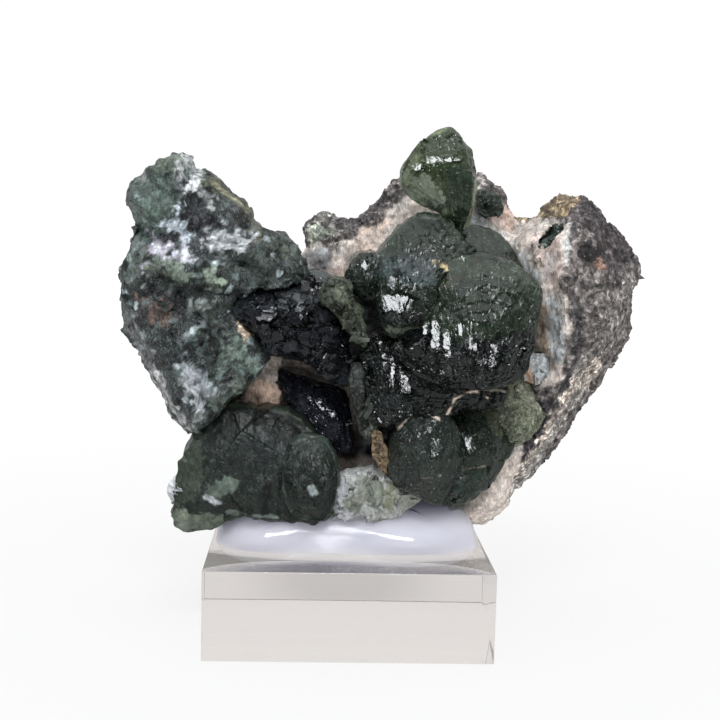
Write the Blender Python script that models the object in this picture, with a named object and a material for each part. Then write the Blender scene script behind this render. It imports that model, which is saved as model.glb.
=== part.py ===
"""Prehnite specimen: fans of dark green prehnite on basalt, glued to a clear acrylic block.

Metres, +Z up, -Y towards the viewer. The origin is the centre of the block's underside.
Outlines are in millimetres, as the crystals look from the front; each stands at its own depth.
"""
import math

import bmesh
import bpy
from mathutils import Vector, noise

# Driving dimensions, in millimetres
BLOCK_SIDE = 50.8
BLOCK_HEIGHT = 15.9
BLOCK_BEVEL = 0.4
GLUE_LENGTH = 50.0
GLUE_DEPTH = 27.5
GLUE_HEIGHT = 5.4
GLUE_MIDDLE_Y = 0.5
GAP = 0.3
SHARPEST_SWELL = 1.6

# How finely the pieces are built, in millimetres
ROCK_VOXEL = 0.9
ROCK_TRIANGLES = 1900
CRUST_VOXEL = 0.8
CRUST_TRIANGLES = 1250
BACK_RINGS = 2
WELD = 0.004
NOISE_STRIDE = (7.3, 3.1, 5.7)

MM = 0.001


def clear_scene():
    """Removes whatever the file opened with."""
    for item in list(bpy.data.objects):
        bpy.data.objects.remove(item, do_unlink=True)


def make_material(name, colour, roughness, transmission=0.0):
    """A Principled material with the piece's colour and gloss."""
    made = bpy.data.materials.new(name)
    made.use_nodes = True
    shader = made.node_tree.nodes["Principled BSDF"]
    shader.inputs["Base Color"].default_value = (*colour, 1.0)
    shader.inputs["Roughness"].default_value = roughness
    shader.inputs["Metallic"].default_value = 0.0
    shader.inputs["Transmission Weight"].default_value = transmission
    made.diffuse_color = (*colour, 1.0)
    return made


def object_from(name, points, faces):
    """An object whose mesh is given in millimetres."""
    mesh = bpy.data.meshes.new(name)
    mesh.from_pydata([Vector(point) * MM for point in points], [], faces)
    mesh.update()
    item = bpy.data.objects.new(name, mesh)
    bpy.context.scene.collection.objects.link(item)
    return item


def rounded_loop(points, spans):
    """A closed smooth curve through the points, with so many steps from one to the next."""
    count = len(points)
    loop = []
    for index in range(count):
        before, here, there, after = (Vector(points[(index + step) % count]) for step in (-1, 0, 1, 2))
        for step in range(spans):
            t = step / spans
            loop.append(0.5 * (2 * here + (there - before) * t
                               + (2 * before - 5 * here + 4 * there - after) * t * t
                               + (3 * here - before - 3 * there + after) * t ** 3))
    return loop


def lump(outline, depth, front, back, crest=None, lean=(0.0, 0.0), boxy=0.7, spans=2, rings=3):
    """A swollen crystal: an outline seen from the front, bulging towards the viewer and away.

    The outline stands at the given depth, leaning by so much depth for each millimetre of X and Z.
    The crest is the (x, z) of the most forward point. A boxy below 1 gives a flatter face.
    """
    loop = rounded_loop([Vector((x, z)) for x, z in outline], spans)
    middle = sum(loop, Vector((0.0, 0.0))) / len(loop)
    crest = Vector(crest) if crest else middle
    count = len(loop)

    def ring(angle, reach, top):
        shrink = max(math.cos(angle), 0.0) ** boxy
        centre = middle.lerp(top, 1.0 - shrink)
        placed = []
        for point in loop:
            x, z = centre + (point - middle) * shrink
            away = depth + lean[0] * (x - middle.x) + lean[1] * (z - middle.y)
            placed.append((x, away + reach * math.sin(angle), z))
        return placed

    points = []
    for step in range(BACK_RINGS - 1, 0, -1):
        points += ring(math.pi / 2 * step / BACK_RINGS, back, middle)
    for step in range(rings):
        points += ring(math.pi / 2 * step / rings, -front, crest)
    rows = rings + BACK_RINGS - 1
    faces = []
    for row in range(rows - 1):
        for index in range(count):
            beside = (index + 1) % count
            faces.append((row * count + index, row * count + beside,
                          (row + 1) * count + beside, (row + 1) * count + index))
    ends = []
    for top, reach in ((middle, back), (crest, -front)):
        away = depth + lean[0] * (top.x - middle.x) + lean[1] * (top.y - middle.y)
        ends.append(len(points))
        points.append((top.x, away + reach, top.y))
    last = (rows - 1) * count
    for index in range(count):
        beside = (index + 1) % count
        faces.append((ends[0], beside, index))
        faces.append((ends[1], last + index, last + beside))
    made = object_from("lump", points, faces)
    face_outwards(made)
    return made


def loft(sections):
    """A solid through level cross-sections, each a height and a loop of (x, y) points."""
    count = len(sections[0][1])
    points = [(x, y, height) for height, loop in sections for x, y in loop]
    faces = [tuple(range(count)), tuple(range(len(points) - count, len(points)))]
    for row in range(len(sections) - 1):
        for index in range(count):
            beside = (index + 1) % count
            faces.append((row * count + index, row * count + beside,
                          (row + 1) * count + beside, (row + 1) * count + index))
    made = object_from("loft", points, faces)
    face_outwards(made)
    return made


def edit(item, work):
    """Runs a bmesh step on an object's mesh."""
    shape = bmesh.new()
    shape.from_mesh(item.data)
    work(shape)
    shape.to_mesh(item.data)
    shape.free()
    item.data.update()


def face_outwards(item):
    """Turns every face outwards, in triangles."""
    def work(shape):
        bmesh.ops.triangulate(shape, faces=shape.faces[:])
        bmesh.ops.recalc_face_normals(shape, faces=shape.faces[:])
    edit(item, work)


def bodies_of(shape):
    """The faces of each separate body in a bmesh, the smallest body first."""
    bodies = []
    left = set(shape.faces)
    while left:
        body = [left.pop()]
        for face in body:
            for edge in face.edges:
                for beside in edge.link_faces:
                    if beside in left:
                        left.remove(beside)
                        body.append(beside)
        bodies.append(body)
    return sorted(bodies, key=len)


def keep_largest(item):
    """Welds a cut mesh and keeps its largest body."""
    def work(shape):
        bmesh.ops.remove_doubles(shape, verts=shape.verts[:], dist=WELD * MM)
        bmesh.ops.dissolve_degenerate(shape, edges=shape.edges[:], dist=WELD * MM)
        bmesh.ops.triangulate(shape, faces=shape.faces[:])
        crumbs = [face for body in bodies_of(shape)[:-1] for face in body]
        bmesh.ops.delete(shape, geom=crumbs, context="FACES")
        loose = [vert for vert in shape.verts if not vert.link_faces]
        bmesh.ops.delete(shape, geom=loose, context="VERTS")
    edit(item, work)


def apply_modifiers(item):
    """Bakes an object's modifiers into its mesh."""
    graph = bpy.context.evaluated_depsgraph_get()
    baked = bpy.data.meshes.new_from_object(item.evaluated_get(graph))
    item.modifiers.clear()
    item.data = baked


def combine(item, other, operation, solver):
    """A Boolean of two solids, kept as one body."""
    change = item.modifiers.new("combine", "BOOLEAN")
    change.operation = operation
    change.solver = solver
    change.object = other
    apply_modifiers(item)
    keep_largest(item)


def join(pieces):
    """One solid from overlapping pieces."""
    whole = pieces[0]
    for piece in pieces[1:]:
        combine(whole, piece, "UNION", "EXACT")
        bpy.data.objects.remove(piece, do_unlink=True)
    return whole


def remesh(item, voxel):
    """Even faces all over, so that noise can shape them."""
    even = item.modifiers.new("even", "REMESH")
    even.mode = "VOXEL"
    even.voxel_size = voxel * MM
    apply_modifiers(item)


def thin_out(item, triangles):
    """Fewer triangles, kept where the shape needs them."""
    thin = item.modifiers.new("thin", "DECIMATE")
    thin.use_collapse_triangulate = True
    thin.ratio = min(1.0, triangles / (2.0 * len(item.data.polygons)))
    apply_modifiers(item)
    keep_largest(item)


def push_out(item, distance_at):
    """Moves each point along its normal, by the millimetres that distance_at gives for it."""
    def work(shape):
        shape.normal_update()
        moves = [vert.normal * distance_at(vert) * MM for vert in shape.verts]
        for vert, move in zip(shape.verts, moves):
            vert.co += move
    edit(item, work)


def roughen(item, grain, amount, seed):
    """Moves the surface in and out by noise of the given grain, both in millimetres."""
    elsewhere = Vector(NOISE_STRIDE) * seed

    def bump(vert):
        return amount * noise.fractal(vert.co / (grain * MM) + elsewhere, 0.8, 2.0, 3)
    push_out(item, bump)


def boxes_meet(one, two):
    """Whether the boxes around two objects come within two gaps of each other."""
    spans = []
    for item in (one, two):
        places = [vert.co for vert in item.data.vertices]
        spans.append([(min(place[axis] for place in places), max(place[axis] for place in places))
                      for axis in range(3)])
    reach = 2 * GAP * MM
    return all(a[0] < b[1] + reach and b[0] < a[1] + reach for a, b in zip(*spans))


def cut_clear_of(item, others):
    """Cuts an object back from its neighbours, leaving the gap between them.

    The exact solver loses rough solids whose swollen faces cross, so these cuts use the other one.
    """
    for other in others:
        if not boxes_meet(item, other):
            continue
        cutter = other.copy()
        cutter.data = other.data.copy()
        bpy.context.scene.collection.objects.link(cutter)
        push_out(cutter, lambda vert: GAP * min(vert.calc_shell_factor(), SHARPEST_SWELL))
        combine(item, cutter, "DIFFERENCE", "MANIFOLD")
        bpy.data.objects.remove(cutter, do_unlink=True)


def finish(item, name, look):
    """Names a finished piece and gives it its material."""
    item.name = name
    item.data.name = name
    item.data.materials.clear()
    item.data.materials.append(look)
    return item


clear_scene()

acrylic = make_material("clear_acrylic", (0.95, 0.95, 0.96), 0.03, 1.0)
milky_glue = make_material("milky_glue", (0.83, 0.83, 0.88), 0.2)
basalt = make_material("basalt", (0.11, 0.10, 0.10), 0.85)
granular_green = make_material("granular_green", (0.20, 0.25, 0.22), 0.55)
dark_green = make_material("dark_green_prehnite", (0.03, 0.05, 0.04), 0.15)
olive_green = make_material("olive_green_prehnite", (0.10, 0.14, 0.08), 0.2)
black_green = make_material("black_green_prehnite", (0.015, 0.02, 0.022), 0.2)
grey_green = make_material("grey_green_prehnite", (0.20, 0.24, 0.19), 0.3)
pale_green = make_material("pale_green_prehnite", (0.45, 0.50, 0.42), 0.3)
rust = make_material("rust", (0.42, 0.22, 0.10), 0.9)
chalky = make_material("chalky_calcite", (0.72, 0.74, 0.74), 0.6)


# Acrylic block: a plain square with its edges just broken
def build_block():
    half = BLOCK_SIDE / 2
    points = [(x, y, z) for z in (0.0, BLOCK_HEIGHT) for x, y in
              ((-half, -half), (half, -half), (half, half), (-half, half))]
    faces = [(3, 2, 1, 0), (4, 5, 6, 7), (0, 1, 5, 4), (1, 2, 6, 5), (2, 3, 7, 6), (3, 0, 4, 7)]
    block = object_from("block", points, faces)
    edges = block.modifiers.new("broken_edges", "BEVEL")
    edges.width = BLOCK_BEVEL * MM
    edges.segments = 2
    apply_modifiers(block)
    return finish(block, "acrylic_block", acrylic)


# Mounting glue: a flat-topped mound squeezed out between the rock and the block
def build_glue():
    around = 28
    rings = ((0.99, 0.0), (1.0, 0.30), (0.985, 0.62), (0.94, 0.86), (0.84, 1.0))
    squareness = 2.6
    floor = BLOCK_HEIGHT + GAP
    points = []
    for reach, rise in rings:
        for index in range(around):
            angle = math.tau * index / around
            c, s = math.cos(angle), math.sin(angle)
            x = math.copysign(abs(c) ** (2 / squareness), c) * GLUE_LENGTH / 2 * reach
            y = math.copysign(abs(s) ** (2 / squareness), s) * GLUE_DEPTH / 2 * reach + GLUE_MIDDLE_Y
            points.append((x, y, floor + rise * GLUE_HEIGHT))
    top = len(points)
    points.append((0.0, GLUE_MIDDLE_Y, floor + GLUE_HEIGHT))
    faces = [tuple(reversed(range(around)))]
    for row in range(len(rings) - 1):
        for index in range(around):
            beside = (index + 1) % around
            faces.append((row * around + index, row * around + beside,
                          (row + 1) * around + beside, (row + 1) * around + index))
    last = (len(rings) - 1) * around
    for index in range(around):
        faces.append((top, last + index, last + (index + 1) % around))
    glue = object_from("glue", points, faces)
    face_outwards(glue)
    return finish(glue, "mounting_glue", milky_glue)


# Basalt matrix: the back wall, the broken wing at the right and the core behind the crystals
def build_matrix():
    wall = lump([(-10, 68), (-9.5, 74), (-5.5, 78.5), (-1, 76.5), (2.5, 78.5), (7, 83), (12, 86), (18, 87),
                 (24.5, 86.5), (30, 83), (34.5, 77), (38, 78), (42, 74), (43, 50), (38, 34), (29, 19),
                 (10, 18), (-9, 18), (-18, 20), (-27, 31), (-34, 46), (-36, 58), (-28, 66)],
                depth=16, front=4, back=6, lean=(0.0, 0.13), boxy=0.35)
    wing = loft([
        (17.8, ((14, 4), (20, 1), (24.5, 1.5), (29.5, 6), (25, 11), (14, 12))),
        (22, ((14, 6), (22.5, -1), (28, -1), (34.5, 7), (30, 14), (16, 16))),
        (28, ((18, 8), (26, -3), (31.5, -1.5), (39.5, 8), (35, 16), (20, 18))),
        (35, ((22, 8), (31, -4), (34.5, -2), (41.5, 8), (39, 18), (24, 20))),
        (41, ((26, 9), (34.5, -5), (37.5, -2.5), (46, 8), (42, 19), (26, 22))),
        (48, ((28, 10), (38.5, -6), (42, -3), (51, 8), (47, 20), (28, 23))),
        (54, ((30, 10), (40, -7.5), (46.5, -4), (55, 9), (50, 21), (30, 24))),
        (60, ((30, 11), (39, -7.5), (47, -4.5), (55.5, 8), (52, 20), (30, 24))),
        (66, ((30, 12), (38, -7), (47, -4), (57, 8), (52, 20), (30, 23))),
        (72, ((30, 13), (39, -5.5), (46, -3), (53.5, 8), (50, 19), (30, 22))),
        (77, ((35, 14), (40, -3), (45, -1), (49.5, 7), (47, 16), (35, 19))),
        (81.3, ((40, 9), (41.5, 4), (44, 3), (46.5, 7), (44.5, 12), (41, 14))),
    ])
    core = lump([(-32, 62), (-35, 55), (-32, 42), (-26, 31), (-24, 21), (-10, 18.5), (6, 18.5),
                 (17, 18.5), (19, 30), (6, 36), (-6, 34), (-14, 40), (-14, 56), (-20, 64)],
                depth=10, front=7, back=8, boxy=0.5)
    back_left = lump([(-24, 60), (-28, 46), (-22, 30), (-6, 26), (4, 40), (2, 62), (-8, 70)],
                     depth=20, front=6, back=8, crest=(-12, 50), boxy=0.6)
    back_right = lump([(4, 66), (2, 44), (12, 28), (28, 32), (38, 50), (36, 68), (20, 80)],
                      depth=21, front=6, back=7, lean=(0.1, 0.1), boxy=0.5)
    rock = join([wall, wing, core, back_left, back_right])
    remesh(rock, ROCK_VOXEL)
    roughen(rock, 14.0, 1.4, 1)
    roughen(rock, 5.0, 1.1, 2)
    roughen(rock, 2.0, 0.5, 3)
    thin_out(rock, ROCK_TRIANGLES)
    return finish(rock, "basalt_matrix", basalt)


# Left crust: granular prehnite grown over the rock in knobs and lobes
def build_crust():
    knob = lump([(-39.5, 73.5), (-42, 77.5), (-41.2, 80.5), (-37.5, 85), (-33, 87.5), (-29.5, 86),
                 (-27.5, 79), (-29.5, 72), (-36, 70)],
                depth=0, front=9, back=11, crest=(-34, 79), boxy=0.6)
    knob_right = lump([(-30, 85), (-25.5, 82.5), (-22, 79.5), (-19, 77.5), (-17.7, 71), (-22, 68),
                       (-30, 69), (-32, 78)],
                      depth=2, front=7, back=9, crest=(-26, 78), boxy=0.5)
    shoulder = lump([(-41.5, 72), (-43.3, 66), (-42.2, 62), (-36, 57), (-24, 56), (-12, 59), (-7.5, 64),
                     (-9, 68), (-12.5, 74), (-20, 73.5), (-30, 75), (-39, 75)],
                    depth=2, front=10, back=12, crest=(-28, 64), boxy=0.5)
    flank = lump([(-43.3, 63), (-43.8, 58), (-42.3, 54.5), (-38.8, 49), (-34, 39.5), (-30, 34.5),
                  (-24, 38), (-19.5, 46), (-17.5, 55), (-21, 62), (-32, 66)],
                 depth=3, front=10, back=12, crest=(-28, 54), boxy=0.5)
    flap = lump([(-24, 56), (-18.5, 56.5), (-14.8, 52), (-18, 47), (-23.5, 41), (-29, 37), (-28, 43),
                 (-26, 50)],
                depth=-6, front=3.5, back=7, crest=(-22, 49), boxy=0.5)
    crust = join([shoulder, knob, knob_right, flank, flap])
    remesh(crust, CRUST_VOXEL)
    roughen(crust, 6.0, 1.2, 4)
    roughen(crust, 2.4, 0.7, 5)
    thin_out(crust, CRUST_TRIANGLES)
    return finish(crust, "prehnite_crust_left", granular_green)


# Main cluster: overlapping fans grown together, each one a rounded shell
def build_cluster():
    upper_left = lump([(4.2, 62), (3.3, 67.5), (5.5, 71.7), (10.5, 76.8), (15.5, 77.7), (19, 75.5),
                       (21, 68), (17, 60), (11, 56.5), (6.5, 55.5)],
                      depth=-6.5, front=7, back=18, crest=(9, 62), lean=(0.0, 0.3), boxy=0.5, rings=4)
    small_left = lump([(-0.5, 65), (-1, 67.5), (1, 70.3), (4.5, 70), (6, 66), (4, 62), (0.5, 62.5)],
                      depth=-4, front=4, back=12, crest=(2.5, 66), lean=(0.0, 0.3), boxy=0.6)
    upper_right = lump([(17.5, 74.5), (20.5, 75.7), (26, 75), (29.5, 72), (31.5, 68), (32, 62),
                        (27, 57), (19, 60)],
                       depth=-2, front=6, back=15, crest=(25, 65), lean=(0.1, 0.4), boxy=0.5, rings=4)
    middle = lump([(7.3, 53.5), (10, 57.5), (13.5, 64), (16.5, 69), (21, 70.6), (26, 70), (31, 68.5),
                   (35.8, 64.5), (34, 57.5), (32.5, 51), (29, 47.7), (22, 46.7), (14, 47.7), (10, 50)],
                  depth=-8.5, front=8, back=18, crest=(20, 54), lean=(0.0, 0.35), boxy=0.45, spans=3,
                  rings=5)
    dark = lump([(1.9, 53), (5, 56), (14, 54), (24, 50), (28.5, 47), (27, 43), (18, 41.5), (9, 40.3),
                 (4.3, 40.3), (2.2, 44.5)],
                depth=-7, front=7, back=16, crest=(9, 46), lean=(0.15, 0.2), boxy=0.5, rings=4)
    lower_left = lump([(6.8, 32), (7.3, 37), (9.7, 40.6), (12.5, 42.3), (17, 42), (20, 38), (19, 30),
                       (16, 25.5), (12, 27), (8.5, 29)],
                      depth=-5.5, front=6, back=12, crest=(13.5, 34), lean=(0.0, 0.25), boxy=0.5)
    lower = lump([(15, 41), (18, 44), (24, 45.5), (28.5, 42.5), (30.8, 36), (29, 32.3), (26.5, 28.3),
                  (21, 24.2), (17, 24.8), (14.5, 32)],
                 depth=-5, front=7.5, back=12, crest=(21, 35), lean=(0.0, 0.3), boxy=0.5, rings=4)
    right = lump([(26.5, 46.5), (32.5, 46.5), (35.5, 43.8), (36.8, 40), (34.3, 37), (30.3, 35), (26, 38)],
                 depth=-2, front=5, back=9, crest=(32, 41), lean=(0.1, 0.2), boxy=0.5)
    cluster = join([middle, upper_left, small_left, upper_right, dark, lower_left, lower, right])
    roughen(cluster, 4.0, 0.35, 6)
    return finish(cluster, "prehnite_fan_cluster", dark_green)


def build_blade_top():
    blade = lump([(8.5, 84), (9.3, 87), (11.5, 90), (14, 92), (17.5, 94), (20.5, 91.7), (22.6, 88),
                  (23.2, 84), (22.7, 80), (21.3, 74), (19.5, 75), (16, 77.5), (12, 79), (9.5, 81)],
                 depth=2.5, front=5, back=4, crest=(16, 86), lean=(0.1, 0.1), boxy=0.55)
    return finish(blade, "prehnite_blade_top", olive_green)


def build_fan_dark():
    fan = lump([(-22, 59), (-20, 62), (-14.5, 63.5), (-11, 63.5), (-7.5, 66.7), (-4, 66), (-1.5, 63),
                (-0.7, 54), (0, 49.5), (-1, 45.5), (-8, 50), (-15, 51.5), (-18, 55)],
               depth=-4, front=7, back=12, crest=(-8, 57), lean=(0.1, 0.2), boxy=0.45)
    roughen(fan, 4.0, 0.5, 7)
    return finish(fan, "prehnite_fan_dark", black_green)


def build_blade_olive():
    blade = lump([(-4.5, 66), (-1, 65), (-0.3, 62), (1.3, 60), (2.5, 55), (2, 53.5), (-0.7, 56.5),
                  (-3, 59.5), (-6, 62), (-5.8, 64)],
                 depth=-10.5, front=1.6, back=6, lean=(0.2, 0.3), boxy=0.4)
    return finish(blade, "prehnite_blade_olive", grey_green)


def build_crystal_cavity():
    crystal = lump([(-13.5, 47.5), (-5.5, 45.5), (-0.5, 43.5), (0.5, 37), (0.5, 33), (-3.5, 33.5),
                    (-8, 37), (-12, 41.5)],
                   depth=0, front=5, back=12, crest=(-6, 41), lean=(0.0, 0.4), boxy=0.45)
    return finish(crystal, "prehnite_crystal_cavity", black_green)


def build_blade_side():
    blade = lump([(0, 50), (0, 46), (1, 42), (2, 37.5), (3.5, 35.5), (5, 37.5), (5.5, 40), (3.5, 42),
                  (3, 46), (2, 50)],
                 depth=-9, front=1.5, back=7, boxy=0.4)
    return finish(blade, "prehnite_blade_side", grey_green)


def build_fan_front():
    large = lump([(-31.5, 31.5), (-29, 35), (-24, 41), (-18.5, 41.5), (-12, 41), (-6, 36.5), (-3.5, 31),
                  (-4, 22), (-14.5, 21.6), (-18.5, 22.5), (-25, 19.3), (-31.7, 19.8), (-32, 25)],
                 depth=-6.5, front=5.5, back=13, crest=(-17, 31), lean=(0.0, 0.3), boxy=0.45, rings=4)
    small = lump([(-12, 34), (-9, 37), (-6, 37), (-3.5, 35), (-2.2, 29.5), (-3.8, 22.3), (-9, 22.3),
                  (-12, 26)],
                 depth=-10, front=3.5, back=8, crest=(-7, 30), lean=(0.0, 0.2), boxy=0.45)
    fan = join([large, small])
    roughen(fan, 4.0, 0.35, 8)
    return finish(fan, "prehnite_fan_front", dark_green)


def build_chips():
    chips = lump([(-3.5, 29), (1, 30.5), (5.5, 30.5), (10, 29.5), (14.5, 26.5), (11.5, 24), (6.5, 22),
                  (1, 21.8), (-4, 22.5)],
                 depth=-8.5, front=4, back=8, crest=(4, 26), boxy=0.5)
    roughen(chips, 2.5, 0.8, 9)
    return finish(chips, "prehnite_chips_base", pale_green)


def build_flake():
    flake = lump([(4, 37.5), (5.5, 38), (6.3, 36), (7, 33), (6.5, 30), (5, 32), (3.6, 34.5)],
                 depth=-11.5, front=1.4, back=2.5, boxy=0.5)
    roughen(flake, 1.2, 0.3, 10)
    return finish(flake, "rust_flake", rust)


def build_calcite():
    patch = lump([(34.5, 52), (37, 52), (38.2, 48), (37, 44.5), (35.5, 43), (33.5, 46), (33, 49)],
                 depth=0, front=2.5, back=5, boxy=0.5)
    return finish(patch, "calcite_patch", chalky)


def build_quartz():
    bead = lump([(-31.3, 29), (-32.7, 27), (-32.7, 24.5), (-31.5, 23.3), (-30, 25), (-30, 28)],
                depth=-7.5, front=2.5, back=3, boxy=0.6)
    return finish(bead, "quartz_bead", chalky)


def build_bud_upper():
    bud = lump([(24.5, 82), (27, 81.7), (28.6, 80.5), (28.5, 78), (25, 77.8)],
               depth=12, front=3, back=5, boxy=0.6)
    return finish(bud, "prehnite_bud_upper", black_green)


def build_bud_right():
    bud = lump([(35.8, 72.5), (38, 75.5), (40.5, 76), (41, 73.5), (39.5, 69), (37, 68.3)],
               depth=4, front=4, back=6, boxy=0.6)
    return finish(bud, "prehnite_bud_right", olive_green)


build_block()

# Each piece gives way to those named before it
in_front = []
for build in (build_flake, build_quartz, build_blade_olive, build_blade_side, build_chips, build_cluster,
              build_blade_top, build_fan_front, build_crystal_cavity, build_fan_dark, build_calcite,
              build_bud_upper, build_bud_right, build_crust, build_matrix, build_glue):
    piece = build()
    cut_clear_of(piece, in_front)
    in_front.append(piece)
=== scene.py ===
import math

import bpy
import numpy as np
from mathutils import Matrix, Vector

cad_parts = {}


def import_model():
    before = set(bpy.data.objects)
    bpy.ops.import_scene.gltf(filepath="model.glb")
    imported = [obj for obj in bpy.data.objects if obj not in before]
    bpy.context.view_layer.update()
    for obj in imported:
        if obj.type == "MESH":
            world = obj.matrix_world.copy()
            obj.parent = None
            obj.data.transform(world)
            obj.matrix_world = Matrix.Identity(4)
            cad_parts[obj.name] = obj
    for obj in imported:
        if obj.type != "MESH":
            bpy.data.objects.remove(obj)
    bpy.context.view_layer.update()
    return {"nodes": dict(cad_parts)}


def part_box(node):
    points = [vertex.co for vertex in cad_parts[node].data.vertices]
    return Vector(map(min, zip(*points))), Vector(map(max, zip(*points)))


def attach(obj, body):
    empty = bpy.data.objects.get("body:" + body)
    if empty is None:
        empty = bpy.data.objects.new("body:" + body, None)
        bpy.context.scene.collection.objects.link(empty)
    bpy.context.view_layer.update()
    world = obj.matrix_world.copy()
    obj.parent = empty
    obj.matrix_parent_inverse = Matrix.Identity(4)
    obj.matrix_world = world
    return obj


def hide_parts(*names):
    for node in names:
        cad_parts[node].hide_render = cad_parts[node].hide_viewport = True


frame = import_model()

# Prehnite specimen: fans of dark green prehnite on basalt, glued to a clear acrylic block.
# Metres, +Z up, -Y towards the viewer. The origin is the middle of the block's underside.
MM = 0.001


# Camera: a long lens a little above the stone, looking slightly down and slightly from the left.
# It only frames the picture and isn't part of the object.
EYE = (-0.00703, -0.24168, 0.07714)
EYE_TURN, EYE_DIP, EYE_ROLL = 2.0885, 6.4228, 1.3275
bpy.ops.object.camera_add(location=EYE)
camera = bpy.context.object
camera.name = "camera"
camera.matrix_world = (Matrix.Translation(EYE)
                       @ Matrix.Rotation(math.radians(-EYE_TURN), 4, "Z")
                       @ Matrix.Rotation(math.radians(90 - EYE_DIP), 4, "X")
                       @ Matrix.Rotation(math.radians(EYE_ROLL), 4, "Z"))
camera.data.lens = 64.63
camera.data.sensor_width = 36.0
camera.data.clip_start = 0.01
camera.data.clip_end = 20.0
bpy.context.scene.camera = camera


def put(tree, kind, inputs=None, **settings):
    """Adds a shader node. An input that is given a socket is linked, any other is set."""
    made = tree.nodes.new("ShaderNode" + kind)
    for key, value in settings.items():
        setattr(made, key, value)
    for key, value in (inputs or {}).items():
        if isinstance(value, bpy.types.NodeSocket):
            tree.links.new(value, made.inputs[key])
        else:
            made.inputs[key].default_value = value
    return made


def new_finish(name):
    """A material, its node tree and its Principled shader."""
    made = bpy.data.materials.new(name)
    made.use_nodes = True
    return made, made.node_tree, made.node_tree.nodes["Principled BSDF"]


# Floor: a wide sheet of white card that melts into the white behind it.
# It glows a little, so that only a faint shadow shows round the block, and a painted shadow dims its glow just behind
# the block.
bpy.ops.object.select_all(action="DESELECT")
bpy.ops.mesh.primitive_circle_add(vertices=96, radius=6.0, fill_type="NGON", location=(0, 0, -0.0001))
floor = bpy.context.object
floor.name = "floor"
card, tree, shader = new_finish("white_card")
path = put(tree, "LightPath")
mirrored = put(tree, "Math", {0: path.outputs["Is Glossy Ray"], 1: path.outputs["Is Transmission Ray"]},
               operation="SUBTRACT", use_clamp=True)
seen = put(tree, "Math", {0: mirrored.outputs[0], 1: -0.55, 2: 1.0}, operation="MULTIPLY_ADD")
grain = put(tree, "TexNoise", {"Vector": put(tree, "TexCoord").outputs["Object"], "Scale": 900.0})
shade = put(tree, "MapRange", {"Value": grain.outputs["Fac"], "To Min": 0.09, "To Max": 0.11})
far = put(tree, "VectorMath", {0: put(tree, "TexCoord").outputs["Object"]}, operation="LENGTH")
fade = put(tree, "MapRange", {"Value": far.outputs["Value"], "From Min": 0.04, "From Max": 0.5,
                              "To Min": 0.79, "To Max": 0.93}, interpolation_type="SMOOTHSTEP")
# Painted shadow: the card's glow is dimmed in a soft spot just behind the block.
painted_shadow_place = put(tree, "Mapping", {"Vector": put(tree, "TexCoord").outputs["Object"], "Location": (0, -0.036, 0),
                            "Scale": (1.25, 1.0, 1.0)})
near = put(tree, "VectorMath", {0: painted_shadow_place.outputs[0]}, operation="LENGTH")
painted_shadow = put(tree, "MapRange", {"Value": near.outputs["Value"], "From Min": 0.006, "From Max": 0.028,
                                "To Min": 0.76, "To Max": 1.0}, interpolation_type="SMOOTHSTEP")
fade = put(tree, "Math", {0: fade.outputs[0], 1: painted_shadow.outputs[0]}, operation="MULTIPLY")
glow = put(tree, "Math", {0: seen.outputs[0], 1: fade.outputs[0]}, operation="MULTIPLY")
tree.links.new(shade.outputs[0], shader.inputs["Base Color"])
shader.inputs["Roughness"].default_value = 0.9
shader.inputs["Emission Color"].default_value = (1.0, 1.0, 1.0, 1.0)
tree.links.new(glow.outputs[0], shader.inputs["Emission Strength"])
floor.data.materials.append(card)


# Light: a broad soft sheet of light overhead and a brighter strip in front of it, in a white room.
# The side that the viewer stands on is dark, so that the dark crystals stay black there.
for name, spot, tilt, wide, deep, watts in (("soft_sheet", (0.0, -0.05, 0.62), 4, 1.1, 0.55, 1.9),
                                            ("bright_strip", (0.0, -0.45, 0.60), 39, 0.30, 0.12, 2.5)):
    bpy.ops.object.light_add(type="AREA", location=spot, rotation=(math.radians(tilt), 0, 0))
    lamp = bpy.context.object
    lamp.name = name
    lamp.data.shape = "RECTANGLE"
    lamp.data.size = wide
    lamp.data.size_y = deep
    lamp.data.energy = watts
    lamp.data.color = (0.95, 0.97, 1.0)
    lamp.visible_camera = False

room = bpy.data.worlds.new("white_room")
room.use_nodes = True
tree = room.node_tree
direction = put(tree, "SeparateXYZ", {0: put(tree, "TexCoord").outputs["Generated"]})
away = put(tree, "MapRange", {"Value": direction.outputs["Y"], "From Min": -0.35, "From Max": 0.45,
                              "To Min": 0.05, "To Max": 0.62})
path = put(tree, "LightPath")
see_through = put(tree, "Math", {0: path.outputs["Is Camera Ray"], 1: path.outputs["Is Transmission Ray"]},
                  operation="MAXIMUM")
filled = put(tree, "Mix", {"Factor": path.outputs["Is Diffuse Ray"], "A": away.outputs[0], "B": 1.0})
strength = put(tree, "Mix", {"Factor": see_through.outputs[0], "A": filled.outputs[0], "B": 1.02})
background = tree.nodes["Background"]
background.inputs["Color"].default_value = (1.0, 1.0, 1.0, 1.0)
tree.links.new(strength.outputs[0], background.inputs["Strength"])
bpy.context.scene.world = room
bpy.context.scene.view_settings.view_transform = "Standard"
bpy.context.scene.view_settings.look = "None"


def belongs(piece, node):
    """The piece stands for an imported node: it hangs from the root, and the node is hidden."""
    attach(piece, "root")
    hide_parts(node)


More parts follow.
